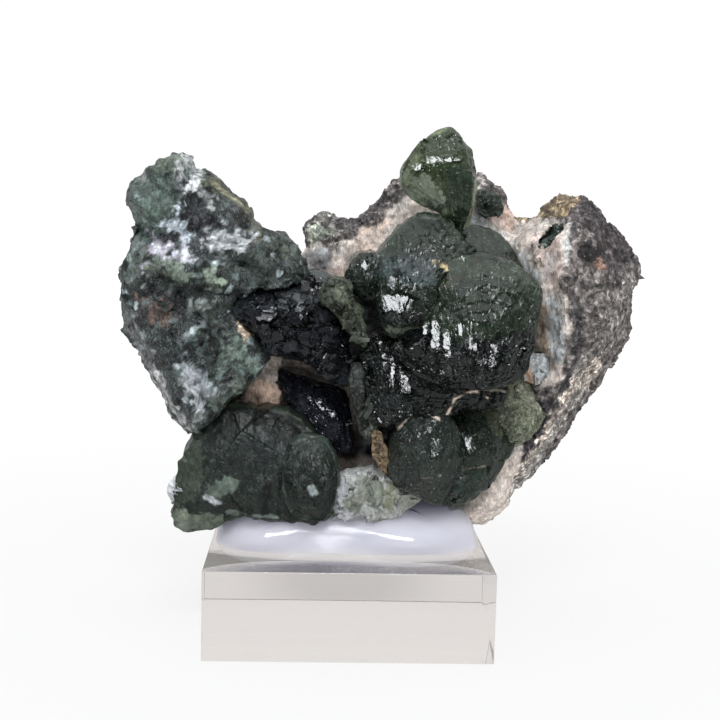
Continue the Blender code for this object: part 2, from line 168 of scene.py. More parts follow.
# Acrylic block: a square of clear cast acrylic, its edges just broken and its faces polished.
# The stone is glued to its top.
BLOCK_BEVEL = 0.15 * MM
low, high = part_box("acrylic_block")
bpy.ops.object.select_all(action="DESELECT")
bpy.ops.mesh.primitive_cube_add(size=1.0, location=(low + high) / 2, scale=high - low)
block = bpy.context.object
block.name = "block"
bpy.ops.object.transform_apply(location=True, rotation=True, scale=True)
edges = block.modifiers.new("broken_edges", "BEVEL")
edges.width = BLOCK_BEVEL
edges.segments = 3
bpy.ops.object.modifier_apply(modifier="broken_edges")
bpy.ops.object.shade_smooth_by_angle(angle=math.radians(35))
acrylic, tree, shader = new_finish("clear_acrylic_polished")
shader.inputs["Base Color"].default_value = (0.761, 0.725, 0.702, 1.0)
shader.inputs["IOR"].default_value = 1.49
shader.inputs["Transmission Weight"].default_value = 1.0
wear = put(tree, "TexNoise", {"Vector": put(tree, "TexCoord").outputs["Object"], "Scale": 160.0,
                              "Detail": 6.0})
smear = put(tree, "MapRange", {"Value": wear.outputs["Fac"], "From Min": 0.4, "From Max": 0.75,
                               "To Min": 0.01, "To Max": 0.05})
tree.links.new(smear.outputs[0], shader.inputs["Roughness"])
path = put(tree, "LightPath")
deep = put(tree, "Math", {0: path.outputs["Glossy Depth"], 1: 2.5}, operation="GREATER_THAN")
passes = put(tree, "Math", {0: path.outputs["Is Shadow Ray"], 1: deep.outputs[0]}, operation="MAXIMUM")
passes = put(tree, "Math", {0: path.outputs["Is Diffuse Ray"], 1: passes.outputs[0]}, operation="MAXIMUM")
lit_through = put(tree, "MixShader", {0: passes.outputs[0],
                                      1: shader.outputs[0],
                                      2: put(tree, "BsdfTransparent", {0: (0.93, 0.92, 0.90, 1.0)}).outputs[0]})
tree.links.new(lit_through.outputs[0], tree.nodes["Material Output"].inputs["Surface"])
block.data.materials.append(acrylic)
belongs(block, "acrylic_block")


LUCK = np.random.default_rng(11).uniform(-1.0, 1.0, (65521, 6))


def points_of(piece):
    """The piece's points in mm and its outward normals, as arrays."""
    count = len(piece.data.vertices)
    place, normal = np.empty(count * 3), np.empty(count * 3)
    piece.data.vertices.foreach_get("co", place)
    piece.data.vertex_normals.foreach_get("vector", normal)
    return place.reshape(-1, 3) / MM, normal.reshape(-1, 3)


def move_points(piece, place):
    """Puts the piece's points where the array says, in mm."""
    piece.data.vertices.foreach_set("co", (place * MM).ravel())
    piece.data.update()


def chance(cells, seed):
    """Six random numbers from -1 to 1 for each whole-numbered cell."""
    return LUCK[(cells @ (7919, 104729, 1299709) + seed * 15485863) % len(LUCK)]


def sway(place, grain, seed):
    """Smooth noise from -1 to 1. The grain is in mm, one number or one for each axis."""
    spot = place / grain
    cell = np.floor(spot).astype(int)
    part = spot - cell
    part = part * part * (3 - 2 * part)
    total = np.zeros(len(place))
    for corner in np.ndindex(2, 2, 2):
        weight = np.where(corner, part, 1 - part).prod(axis=1)
        total += weight * chance(cell + corner, seed)[:, 0]
    return total


# Mounting glue: a mound of milky hot glue, poured on the block and pressed flat by the stone.
# Its rim has sagged and set into a rounded shoulder.
GLUE_SIDES, GLUE_SQUARENESS, GLUE_TOP = 240, 3.6, 24.0
GLUE_PROFILE = ((0.15, 1.0), (0.40, 0.98), (0.60, 0.90), (0.70, 0.82), (0.78, 0.72), (0.84, 0.61), (0.885, 0.52),
                (0.92, 0.43), (0.945, 0.345), (0.962, 0.27), (0.976, 0.19), (0.986, 0.12), (0.993, 0.06),
                (0.998, 0.02), (1.0, -0.006))
bpy.ops.object.select_all(action="DESELECT")
bpy.ops.mesh.primitive_circle_add(vertices=GLUE_SIDES, radius=GLUE_PROFILE[0][0], fill_type="TRIFAN",
                                  location=(0, 0, GLUE_PROFILE[0][1]))
glue = bpy.context.object
glue.name = "glue"
bpy.ops.object.transform_apply(location=True)
bpy.ops.object.mode_set(mode="EDIT")
bpy.ops.mesh.select_mode(type="VERT")
now = GLUE_PROFILE[0]
for reach, rise in GLUE_PROFILE[1:]:
    bpy.ops.mesh.select_all(action="DESELECT")
    bpy.ops.mesh.select_non_manifold()
    bpy.ops.mesh.extrude_region()
    bpy.ops.transform.resize(value=(reach / now[0], reach / now[0], 1.0))
    bpy.ops.transform.translate(value=(0, 0, rise - now[1]))
    now = (reach, rise)
bpy.ops.mesh.select_all(action="DESELECT")
bpy.ops.mesh.select_non_manifold()
bpy.ops.mesh.edge_face_add()
bpy.ops.mesh.select_all(action="SELECT")
bpy.ops.mesh.normals_make_consistent(inside=False)
bpy.ops.object.mode_set(mode="OBJECT")
low, high = (np.array(corner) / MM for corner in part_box("mounting_glue"))
low[2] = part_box("acrylic_block")[1].z / MM
high[2] = GLUE_TOP
place, _ = points_of(glue)
place *= MM
reach = np.hypot(place[:, 0], place[:, 1])
angle = np.arctan2(place[:, 1], place[:, 0])
around = np.column_stack([np.cos(angle), np.sin(angle), 0 * angle])
wander = 1 - 0.012 * (1 - sway(around, 0.5, 1))
reach = reach ** (1 - 0.5 * around[:, 0] ** 2)
outward = np.sign(around) * np.abs(around) ** (2 / GLUE_SQUARENESS) * (reach * wander)[:, None]
sag = 1 - 0.02 * (1 - sway(around * reach[:, None], 0.7, 2))
half, middle = (high - low) / 2, (high + low) / 2
place = np.column_stack([middle[0] + half[0] * outward[:, 0], middle[1] + half[1] * outward[:, 1],
                         low[2] + (high[2] - low[2]) * place[:, 2] * sag])
lump = 1.3 * np.cos((place[:, 0] - 12) * math.tau / 30)
lump *= np.clip((place[:, 2] - low[2]) / 2.5, 0, 1) * (reach > 0.5)
place[:, 1] -= lump
place[:, 2] -= 0.5 * lump
move_points(glue, place)
bpy.ops.object.shade_smooth()
milky, tree, shader = new_finish("milky_hot_glue")
place_on = put(tree, "TexCoord").outputs["Object"]
cloud = put(tree, "TexNoise", {"Vector": place_on, "Scale": 140.0, "Detail": 3.0})
# Painted light: the glue is painted lighter towards the top, against the stone's shade there, and darker low down where
# more light falls; a little cloudy noise runs over it.
height = put(tree, "MapRange", {"Value": put(tree, "SeparateXYZ", {0: place_on}).outputs["Z"],
                                "From Min": 0.0155, "From Max": 0.0225})
cloud_and_painted_light = put(tree, "Math", {0: cloud.outputs["Fac"], 1: 0.15, 2: height.outputs[0]}, operation="MULTIPLY_ADD")
tone = put(tree, "MixRGB", {0: cloud_and_painted_light.outputs[0], 1: (0.37, 0.37, 0.44, 1), 2: (0.60, 0.60, 0.675, 1)})
tree.links.new(tone.outputs[0], shader.inputs["Base Color"])
aside = put(tree, "Math", {0: put(tree, "SeparateXYZ", {0: place_on}).outputs["X"], 1: 0.003}, operation="ADD")
middle_of = put(tree, "Math", {0: aside.outputs[0]}, operation="ABSOLUTE")
dull = put(tree, "MapRange", {"Value": middle_of.outputs[0], "From Min": 0.0, "From Max": 0.0105,
                              "To Min": 0.26, "To Max": 0.08}, interpolation_type="SMOOTHSTEP")
tree.links.new(dull.outputs[0], shader.inputs["Roughness"])
shader.inputs["IOR"].default_value = 1.48
shader.inputs["Subsurface Weight"].default_value = 1.0
shader.inputs["Subsurface Radius"].default_value = (1.0, 1.0, 1.0)
shader.inputs["Subsurface Scale"].default_value = 0.012
ripple = put(tree, "TexNoise", {"Vector": place_on, "Scale": 260.0, "Detail": 2.0})
relief = put(tree, "Bump", {"Height": ripple.outputs["Fac"], "Strength": 0.25, "Distance": 0.0004})
tree.links.new(relief.outputs["Normal"], shader.inputs["Normal"])
glue.data.materials.append(milky)
belongs(glue, "mounting_glue")


# Basalt: the dark volcanic rock that the crystals grew on. Its broken wing at the right shows the
# grain of the rock, and the walls of the old gas bubble are coated with pinkish laumontite.
ROCK_MESH = 0.5


def rough_copy(node, name, mesh_size, rounding):
    """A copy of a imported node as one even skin, its flat facets rounded off."""
    source = frame["nodes"][node]
    made = source.copy()
    made.data = source.data.copy()
    made.parent = None
    made.name = name
    bpy.context.scene.collection.objects.link(made)
    made.data.materials.clear()
    bpy.ops.object.select_all(action="DESELECT")
    made.select_set(True)
    bpy.context.view_layer.objects.active = made
    bpy.ops.object.mode_set(mode="EDIT")
    bpy.ops.mesh.select_all(action="SELECT")
    bpy.ops.mesh.remove_doubles(threshold=0.000002)
    bpy.ops.object.mode_set(mode="OBJECT")
    even = made.modifiers.new("even", "REMESH")
    even.mode = "VOXEL"
    even.voxel_size = mesh_size * MM
    round_off = made.modifiers.new("round_off", "SMOOTH")
    round_off.factor = 0.6
    round_off.iterations = rounding
    bpy.ops.object.modifier_apply(modifier="even")
    bpy.ops.object.modifier_apply(modifier="round_off")
    bpy.ops.object.shade_smooth()
    return made


def crystals(place, size, seed, blocky=2.0):
    """Each point's crystal: its number, its own six random numbers, and the gap to the next one.

    The size is in mm, and the gap is a share of it.
    """
    spot = place / size
    home = np.floor(spot).astype(int)
    nearest, second = np.full((2, len(place)), np.inf)
    number = np.zeros(len(place), int)
    luck = np.zeros((len(place), 6))
    for step in np.ndindex(3, 3, 3):
        cell = home + step - np.ones(3, int)
        draw = chance(cell, seed)
        far = (np.abs(spot - (cell + 0.5 + 0.42 * draw[:, :3])) ** blocky).sum(axis=1)
        closer = far < nearest
        second = np.where(closer, nearest, np.minimum(second, far))
        nearest[closer] = far[closer]
        luck[closer] = draw[closer]
        number[closer] = (cell[closer] + 4096) @ (1, 8192, 8192 * 8192)
    gap = second ** (1 / blocky) - nearest ** (1 / blocky)
    return np.unique(number, return_inverse=True)[1], np.column_stack([luck, gap])


def cleave(piece, size, flatness, tilt, step, seed, blocky=2.0, where=1.0, most=1.5):
    """Breaks the skin into flat crystal faces, each tilted and set back a little. Sizes are in mm."""
    place, normal = points_of(piece)
    number, luck = crystals(place, np.array(size) * np.ones(3), seed, blocky)
    share = np.bincount(number)
    middle = np.column_stack([np.bincount(number, place[:, axis]) / share for axis in range(3)])[number]
    facing = np.column_stack([np.bincount(number, normal[:, axis]) / share for axis in range(3)])[number]
    facing /= np.linalg.norm(facing, axis=1, keepdims=True) + 1e-6
    facing += tilt * luck[:, 3:6]
    along = np.clip((normal * facing).sum(axis=1), 0.4, None)
    drop = np.clip(((middle - place) * facing).sum(axis=1) / along, -most, most)
    move = (flatness * drop + step * luck[:, 2]) * where
    move_points(piece, place + normal * move[:, None])
    return luck


def swell(piece, grain, amount, seed, where=1.0):
    """Moves the skin in and out by smooth noise of a grain, both in mm."""
    place, normal = points_of(piece)
    move_points(piece, place + normal * (amount * sway(place, grain, seed) * where)[:, None])


def dent(piece, points, half, depth):
    """Presses the front of the skin in along a line of (x, z) points. Sizes are in mm."""
    place, normal = points_of(piece)
    far = from_line(place + 0.8 * sway(place, 2.0, 9)[:, None], points)
    place[:, 1] += depth * np.exp(-(far / half) ** 2) * np.clip(0.6 - normal[:, 1], 0, 1)
    move_points(piece, place)


def record(piece, name, values):
    """Keeps a number for each point, for the finish to read."""
    kept_numbers = piece.data.attributes.new(name, "FLOAT", "POINT")
    kept_numbers.data.foreach_set("value", np.asarray(values, dtype=np.float32) * np.ones(len(kept_numbers.data)))


def from_line(place, points):
    """How far each point lies from a line through (x, z) points, in mm as seen from the front."""
    spot = place[:, (0, 2)]
    far = np.full(len(place), np.inf)
    for start, end in zip(points, points[1:] or points):
        start, run = np.array(start, float), np.subtract(end, start)
        part = np.clip((spot - start) @ run / max(run @ run, 1e-9), 0, 1)
        far = np.minimum(far, np.linalg.norm(spot - start - part[:, None] * run, axis=1))
    return far


def paint(red, green, blue):
    """A colour as it looks on a screen, 0 to 255, for a shader."""
    return tuple(((c / 255 + 0.055) / 1.055) ** 2.4 if c > 10 else c / 255 / 12.92
                 for c in (red, green, blue)) + (1.0,)


def tint(piece, ground, bands=(), seed=1, mottle=0.25, luck=None, grit=1.0, palette=(), blocks=None, cracks=0.0,
         jags=0.6):
    """Keeps the mineral's colour and grit on the mesh: a ground colour with others over it.

    A band is (points, half width, colour): a ragged stripe along a line of (x, z) points, in mm.
    The palette is (colour, lowest, highest) for the blocks whose luck lies between the two.
    """
    place, normal = points_of(piece)
    tone = np.ones((len(place), 3)) * paint(*ground)[:3]
    for colour, lowest, highest in palette:
        chosen = (blocks[:, 0] > lowest) & (blocks[:, 0] <= highest)
        tone[chosen] += (np.array(paint(*colour)[:3]) - tone[chosen]) * 0.8
    bend = np.column_stack([sway(place, 3.0, seed + axis) for axis in range(3)])
    small = np.column_stack([sway(place, 0.8, seed + 3 + axis) for axis in range(3)])
    bits = crystals(place, 0.6, seed + 12)[1]
    jag = 0.3 * bits[:, 4] + (0 if luck is None else jags * luck[:, 4])
    for points, half, colour in bands:
        loose = min(half, 2.0) / 2.0
        far = from_line(place + (0.9 * bend + 0.5 * small) * loose, points) + (jag + 0.3 * small[:, 0]) * loose
        cover = np.clip((half - far) / (0.15 + 0.3 * loose) + 0.5, 0, 1) * (normal[:, 1] < 0.4)
        if half < 0.5:
            cover *= np.clip(1.2 + 3 * sway(place, 1.5, seed + 11), 0, 1)
        tone += (np.array(paint(*colour)[:3]) - tone) * cover[:, None]
    uneven = 1 + mottle * (0.6 * sway(place, 4.0, seed + 8) + 0.5 * sway(place, 1.2, seed + 9) + 0.7 * bits[:, 1])
    if luck is not None:
        uneven = uneven * (1 + mottle * luck[:, 1])
    if blocks is not None:
        uneven = uneven * (1 - cracks * np.clip(1 - blocks[:, 6] / 0.12, 0, 1))
    tone = np.clip(tone * uneven[:, None], 0.002, 0.95)
    kept_colours = piece.data.attributes.new("tint", "FLOAT_COLOR", "POINT")
    kept_colours.data.foreach_set("color", np.column_stack([tone, np.ones(len(tone))]).astype(np.float32).ravel())
    record(piece, "grit", grit)


def crisp(piece, degrees=30):
    """Smooths the shading but leaves the sharp edges between crystal faces."""
    bpy.ops.object.select_all(action="DESELECT")
    piece.select_set(True)
    bpy.context.view_layer.objects.active = piece
    bpy.ops.object.shade_smooth_by_angle(angle=math.radians(degrees))


def new_effect(name, given, taken):
    """A shader node group, its input and output nodes. Sockets are (name, kind, value)."""
    group = bpy.data.node_groups.new(name, "ShaderNodeTree")
    for label, kind, value in given:
        socket = group.interface.new_socket(label, in_out="INPUT", socket_type="NodeSocket" + kind)
        socket.default_value = value
    for label, kind in taken:
        group.interface.new_socket(label, in_out="OUTPUT", socket_type="NodeSocket" + kind)
    return group, group.nodes.new("NodeGroupInput"), group.nodes.new("NodeGroupOutput")


def use(tree, effect, inputs):
    """Places an effect in a finish."""
    made = put(tree, "Group", node_tree=effect)
    for key, value in inputs.items():
        if isinstance(value, bpy.types.NodeSocket):
            tree.links.new(value, made.inputs[key])
        else:
            made.inputs[key].default_value = value
    return made


def kept(tree, name, output="Fac"):
    """A number or a colour kept on the mesh, as a socket."""
    return put(tree, "Attribute", attribute_name=name).outputs[output]


def lay(tree, mask, under, over):
    """One colour laid over another through a mask."""
    return put(tree, "MixRGB", {0: mask, 1: under, 2: over}).outputs[0]


# Speckle: mineral grains packed side by side, each a little darker or lighter than the next
speckle, enter, leave = new_effect(
    "speckle", (("Grain", "Float", 1400.0), ("Amount", "Float", 0.5)), (("Shade", "Float"), ("Height", "Float")))
place_on = put(speckle, "TexCoord").outputs["Object"]
bent = put(speckle, "TexNoise", {"Vector": place_on, "Scale": enter.outputs["Grain"], "Detail": 3.0})
bend = put(speckle, "VectorMath", {0: bent.outputs["Color"], 1: (0.0008, 0.0008, 0.0008), 2: place_on},
           operation="MULTIPLY_ADD")
cells = put(speckle, "TexVoronoi", {"Vector": bend.outputs[0], "Scale": enter.outputs["Grain"]})
one = put(speckle, "SeparateColor", {0: cells.outputs["Color"]})
clumps = put(speckle, "TexNoise", {"Vector": place_on, "Scale": 700.0, "Detail": 6.0, "Roughness": 0.65})
clump = put(speckle, "MapRange", {"Value": clumps.outputs["Fac"], "From Min": 0.3, "From Max": 0.7,
                                  "To Min": -1.0, "To Max": 1.0})
mixed = put(speckle, "Math", {0: one.outputs["Red"], 1: 1.6, 2: -0.8}, operation="MULTIPLY_ADD")
mixed = put(speckle, "Math", {0: mixed.outputs[0], 1: clump.outputs[0]}, operation="ADD")
mixed = put(speckle, "Math", {0: mixed.outputs[0], 1: enter.outputs["Amount"]}, operation="MULTIPLY")
shade = put(speckle, "Math", {0: 2.0, 1: mixed.outputs[0]}, operation="POWER")
speckle.links.new(shade.outputs[0], leave.inputs["Shade"])
speckle.links.new(one.outputs["Green"], leave.inputs["Height"])

# Strokes: fine straight scratches and torn plate edges, drawn out along the vector, in patches
strokes, enter, leave = new_effect(
    "strokes", (("Vector", "Vector", (0, 0, 0)), ("Cover", "Float", 0.5)), (("Mask", "Float"),))
thin = put(strokes, "TexNoise", {"Vector": enter.outputs["Vector"], "Scale": 1.0, "Detail": 2.0, "Roughness": 0.6})
patch = put(strokes, "TexNoise", {"Vector": put(strokes, "TexCoord").outputs["Object"], "Scale": 300.0,
                                  "Detail": 4.0, "Roughness": 0.7})
level = put(strokes, "Math", {0: patch.outputs["Fac"], 1: 0.5, 2: thin.outputs["Fac"]}, operation="MULTIPLY_ADD")
lowest = put(strokes, "Math", {0: enter.outputs["Cover"], 1: -0.2, 2: 1.0}, operation="MULTIPLY_ADD")
highest = put(strokes, "Math", {0: lowest.outputs[0], 1: 0.06}, operation="ADD")
mask = put(strokes, "MapRange", {"Value": level.outputs[0], "From Min": lowest.outputs[0],
                                 "From Max": highest.outputs[0]})
strokes.links.new(mask.outputs[0], leave.inputs["Mask"])

# Plate ends: the fine mosaic of crystal ends, each tilted a little, that breaks up the shine
plate_ends, enter, leave = new_effect(
    "plate_ends", (("Vector", "Vector", (0, 0, 0)), ("Seed", "Float", 0.0)), (("Height", "Float"),))
moved = put(plate_ends, "VectorMath", {0: enter.outputs["Vector"], 1: enter.outputs["Seed"]}, operation="ADD")
ends = put(plate_ends, "TexVoronoi", {"Vector": moved.outputs[0], "Scale": 1.0, "Randomness": 0.9},
           distance="CHEBYCHEV")
way = put(plate_ends, "VectorMath", {0: moved.outputs[0], 1: ends.outputs["Position"]}, operation="SUBTRACT")
lean_of = put(plate_ends, "VectorMath", {0: ends.outputs["Color"], 1: (0.5, 0.5, 0.5)}, operation="SUBTRACT")
height = put(plate_ends, "VectorMath", {0: way.outputs[0], 1: lean_of.outputs[0]}, operation="DOT_PRODUCT")
plate_ends.links.new(height.outputs["Value"], leave.inputs["Height"])


def mineral(name, speck=0.3, grain=1500.0, gloss=0.12, frost=0.55, relief=1.0, plate=(1100, 700, 420), turn=0.0,
            cover=0.25, scratch=0.45, flecks_and_painted_glints=0.35, pale=(150, 158, 146), ior=1.5, fanned=False):
    """A mineral finish over the colour kept on the mesh.

    Speck is how much the grains differ and grain how many there are to a metre. Gloss and frost
    are its least and most roughness, relief its bumps, plate its crystals to a metre along X, Y
    and Z, turned in the plane of the front. A fanned one's plates spread from the fan's root, and
    the last of the three is along them. Cover is how much of it is scratched in a pale colour, and
    scratch how strongly.
    """
    made, tree, shader = new_finish(name)
    place_on = put(tree, "TexCoord").outputs["Object"]
    laid = kept(tree, "spread", "Vector") if fanned else place_on
    turned = put(tree, "Mapping", {"Vector": laid, "Rotation": (0, math.radians(turn), 0), "Scale": plate})
    coarse = use(tree, plate_ends, {"Vector": turned.outputs[0], "Seed": 3.0})
    finer = put(tree, "VectorMath", {0: turned.outputs[0], 1: (2.6, 2.6, 2.6)}, operation="MULTIPLY")
    fine = use(tree, plate_ends, {"Vector": finer.outputs[0], "Seed": 8.0})
    drawn = put(tree, "VectorMath", {0: turned.outputs[0], 1: (3.0, 3.0, 0.6)}, operation="MULTIPLY")
    fibres = put(tree, "TexNoise", {"Vector": drawn.outputs[0], "Scale": 1.0, "Detail": 4.0})
    fleck_and_haze_noise = put(tree, "TexNoise", {"Vector": place_on, "Scale": 2600.0, "Detail": 3.0})
    amount = put(tree, "Math", {0: kept(tree, "grit"), 1: speck}, operation="MULTIPLY")
    grains = use(tree, speckle, {"Grain": grain, "Amount": amount.outputs[0]})
    stripe = put(tree, "MapRange", {"Value": fibres.outputs["Fac"], "From Min": 0.3, "From Max": 0.7,
                                    "To Min": 0.7, "To Max": 1.3})
    shade = put(tree, "Math", {0: grains.outputs["Shade"], 1: stripe.outputs[0]}, operation="MULTIPLY")
    surface = put(tree, "VectorMath", {0: kept(tree, "tint", "Color"), 1: shade.outputs[0]},
                  operation="MULTIPLY").outputs[0]
    along = put(tree, "VectorMath", {0: turned.outputs[0], 1: (8.5, 8.5, 2.2)}, operation="MULTIPLY")
    across = put(tree, "VectorMath", {0: turned.outputs[0], 1: (1.3, 1.3, 17.0)}, operation="MULTIPLY")
    lines = use(tree, strokes, {"Vector": along.outputs[0], "Cover": cover})
    ledges = use(tree, strokes, {"Vector": across.outputs[0], "Cover": cover})
    torn = put(tree, "Math", {0: lines.outputs["Mask"], 1: ledges.outputs["Mask"]}, operation="MAXIMUM")
    light = put(tree, "Math", {0: torn.outputs[0], 1: scratch}, operation="MULTIPLY")
    surface = lay(tree, light.outputs[0], surface, paint(*pale))
    # Pale flecks, partly the stone's own specks and partly painted glints.
    fleck_and_painted_glint = put(tree, "MapRange", {"Value": fleck_and_haze_noise.outputs["Fac"], "From Min": 0.64, "From Max": 0.74,
                                   "To Max": flecks_and_painted_glints})
    surface = lay(tree, fleck_and_painted_glint.outputs[0], surface, paint(*pale))
    tree.links.new(surface, shader.inputs["Base Color"])
    hazy = put(tree, "Math", {0: fleck_and_haze_noise.outputs["Fac"], 1: 0.3, 2: kept(tree, "frost")}, operation="MULTIPLY_ADD")
    rough = put(tree, "MapRange", {"Value": hazy.outputs[0], "From Min": 0.12, "From Max": 1.1, "To Min": gloss,
                                   "To Max": frost})
    tree.links.new(rough.outputs[0], shader.inputs["Roughness"])
    shader.inputs["IOR"].default_value = ior
    calm = put(tree, "MapRange", {"Value": kept(tree, "frost"), "From Max": 0.12, "To Min": 0.35})
    relief_of = None
    for height, strength, deep in ((coarse.outputs["Height"], 0.35, 0.0006), (fine.outputs["Height"], 0.35, 0.0003),
                                   (fibres.outputs["Fac"], 0.25, 0.0003), (grains.outputs["Height"], 0.30, 0.0002),
                                   (torn.outputs[0], 0.40, 0.0001)):
        firm = put(tree, "Math", {0: calm.outputs[0], 1: strength * relief}, operation="MULTIPLY")
        given = {"Height": height, "Strength": firm.outputs[0], "Distance": deep}
        if relief_of is not None:
            given["Normal"] = relief_of.outputs["Normal"]
        relief_of = put(tree, "Bump", given)
    tree.links.new(relief_of.outputs["Normal"], shader.inputs["Normal"])
    return made


rock = rough_copy("basalt_matrix", "rock", ROCK_MESH, 4)
place, normal = points_of(rock)
WALL_EDGE_X = (32.0, 35.5, 38.8, 39.3, 39.5, 38.8, 37.8, 39.0, 40.2, 40.2)
WALL_EDGE_Z = (43.0, 46.1, 47.7, 52.9, 56.7, 60.6, 66.3, 70.8, 76.0, 80.8)
RIDGE_X = (-22.0, -10.0, -6.0, -2.0, 5.0, 9.0, 14.0, 22.0, 27.0, 31.0, 33.5, 41.0)
RIDGE_Z = (69.0, 69.5, 70.0, 71.0, 75.5, 79.5, 82.5, 84.0, 81.5, 79.0, 76.0, 77.5)
within = np.interp(place[:, 2], WALL_EDGE_Z, WALL_EDGE_X) - place[:, 0] + 1.2 * sway(place, 2.5, 11)
below = np.interp(place[:, 0], RIDGE_X, RIDGE_Z) - place[:, 2] + 1.5 * sway(place, 2.0, 12)
bare = 1 - np.clip(within / 0.8 + 0.5, 0, 1) * np.clip(below / 1.0 + 0.5, 0, 1) * np.clip(1.4 - normal[:, 1] * 3, 0, 1)
rough = 0.6 + 0.4 * bare
dent(rock, [(-16, 44), (-8, 37.5)], 3.5, -3.0)
swell(rock, 5.0, 0.5, 21)
cleave(rock, 3.2, 0.5, 0.25, 0.15, 22, where=rough)
grains = cleave(rock, 1.4, 0.55, 0.4, 0.15, 23, where=rough)
swell(rock, (0.9, 0.9, 1.4), 0.3, 24, where=rough)
place, normal = points_of(rock)
tint(rock, (100, 95, 93), seed=30, luck=grains, mottle=0.3, grit=0.3 + 0.7 * bare, bands=[
    ([(41, 81), (46, 78), (52, 68)], 4.0, (66, 61, 62)), ([(43, 71.5), (45, 71)], 1.6, (34, 29, 30)),
    ([(45.2, 69)], 1.2, (112, 88, 74)), ([(41, 60), (42, 50), (40, 45)], 1.2, (60, 56, 58)),
    ([(44, 50), (50, 57), (54, 66)], 3.0, (108, 104, 101)),
    ([(46, 49), (40.5, 42.5), (34.5, 33), (30, 25), (26, 19)], 2.4, (176, 166, 157)),
    ([(44, 44), (37, 32), (31, 22)], 1.3, (150, 146, 142)),
    ([(37, 43), (34, 36), (29.5, 28), (24, 21)], 1.9, (52, 49, 53)),
    ([(42, 83), (38, 80), (34, 78)], 2.2, (118, 104, 82)), ([(36, 80.5)], 1.2, (84, 96, 70)),
    ([(-10, 74), (0, 76), (6, 80)], 1.6, (80, 76, 76)), ([(-7.5, 73), (-4.5, 75.5)], 1.8, (126, 130, 120)), ([(-4, 76)], 1.2, (124, 120, 118)),
    ([(12, 84), (22, 86.5)], 2.0, (84, 80, 82))])
coated = rock.data.attributes["tint"]
tone = np.empty(len(place) * 4, np.float32)
coated.data.foreach_get("color", tone)
tone = tone.reshape(-1, 4)
wall = np.ones((len(place), 3)) * paint(206, 195, 186)[:3]
for points, half, colour in [
        ([(25, 76), (29, 71.5), (33, 66)], 2.0, (190, 194, 196)), ([(28, 80), (31, 77)], 2.2, (202, 178, 165)),
        ([(36, 72), (37.5, 67)], 2.0, (192, 174, 166)), ([(40.5, 77), (39.5, 70)], 0.9, (178, 180, 178)),
        ([(37, 62), (38.5, 52)], 1.0, (192, 196, 197)), ([(35.5, 60), (36.5, 50)], 1.0, (178, 160, 140)),
        ([(2, 66), (-4, 62)], 3.0, (176, 160, 150)), ([(6, 78), (3, 72)], 2.5, (200, 182, 170)),
        # The pink coating in the hollow under the dark fan is its own colour, painted lighter than it is as painted
        # light where shade falls.
        ([(-12, 66), (-6, 68)], 2.5, (140, 138, 138)), ([(-16, 41), (-10, 37)], 4.5, (244, 214, 194)),
        # Painted shade: dark stripes in the hollow by the cavity crystal and in the crevice between the fans.
        ([(-6, 38), (0, 33)], 3.0, (60, 50, 46)), ([(2, 62), (4, 48), (6, 34)], 4.0, (38, 36, 36))]:
    far = from_line(place + 0.6 * sway(place, 1.5, 13)[:, None], points)
    wall += (np.array(paint(*colour)[:3]) - wall) * np.clip((half - far) / 1.2 + 0.5, 0, 1)[:, None]
cold = np.clip(0.5 * sway(place, 2.6, 16) + 0.4 * sway(place, 0.8, 17), 0, 0.45)
wall += (np.array(paint(150, 160, 164)[:3]) - wall) * cold[:, None]
wall *= (1 + 0.28 * sway(place, 2.0, 14) + 0.25 * sway(place, 0.9, 15))[:, None]
tone[:, :3] += (wall - tone[:, :3]) * (1 - bare)[:, None]
coated.data.foreach_set("color", tone.ravel())
record(rock, "frost", 0.5 + 0.5 * (1 - bare))
crisp(rock, 35)
stone = mineral("basalt_and_coating", speck=1.5, grain=1500.0, gloss=0.55, frost=0.8, relief=1.3,
                plate=(1300, 1300, 700), turn=25.0, cover=0.1, flecks_and_painted_glints=0.5, pale=(170, 164, 158), ior=1.5)
rock.data.materials.append(stone)
belongs(rock, "basalt_matrix")


# Left crust: small prehnite crystals grown together over the rock, in knobs and lobes. Its grains
# are green, grey and white, with milky beads, rusty hollows and a pale green flap; its deepest hollow and a fissure are
# painted dark as shade.
crust = rough_copy("prehnite_crust_left", "crust", 0.4, 3)
for points, half, depth in (([(-39.5, 73.5), (-37, 72.5), (-33, 71)], 1.3, 2.0), ([(-37, 62), (-32, 60.5)], 2.4, 2.6),
                            ([(-33, 62.5), (-20, 62)], 0.8, 1.6), ([(-28, 78), (-27, 73)], 1.8, 1.8),
                            ([(-30.5, 82), (-30, 70)], 0.8, 0.9), ([(-39, 66), (-32, 64)], 0.8, 1.2),
                            ([(-24, 70), (-17, 66)], 0.9, 1.2), ([(-29, 58), (-24, 50)], 0.9, 1.2),
                            ([(-31, 50), (-24, 47)], 0.7, 0.9), ([(-17, 62), (-13, 68)], 1.0, 1.0)):
    dent(crust, points, half, depth)
swell(crust, 5.0, 0.6, 31)
swell(crust, 2.4, 0.5, 35)
cleave(crust, 2.8, 0.5, 0.3, 0.25, 32, blocky=4.0)
grains = cleave(crust, 1.3, 0.6, 0.4, 0.12, 33, blocky=4.0)
calm = crust.modifiers.new("calm", "SMOOTH")
calm.factor = 0.4
calm.iterations = 2
bpy.context.view_layer.objects.active = crust
bpy.ops.object.modifier_apply(modifier="calm")
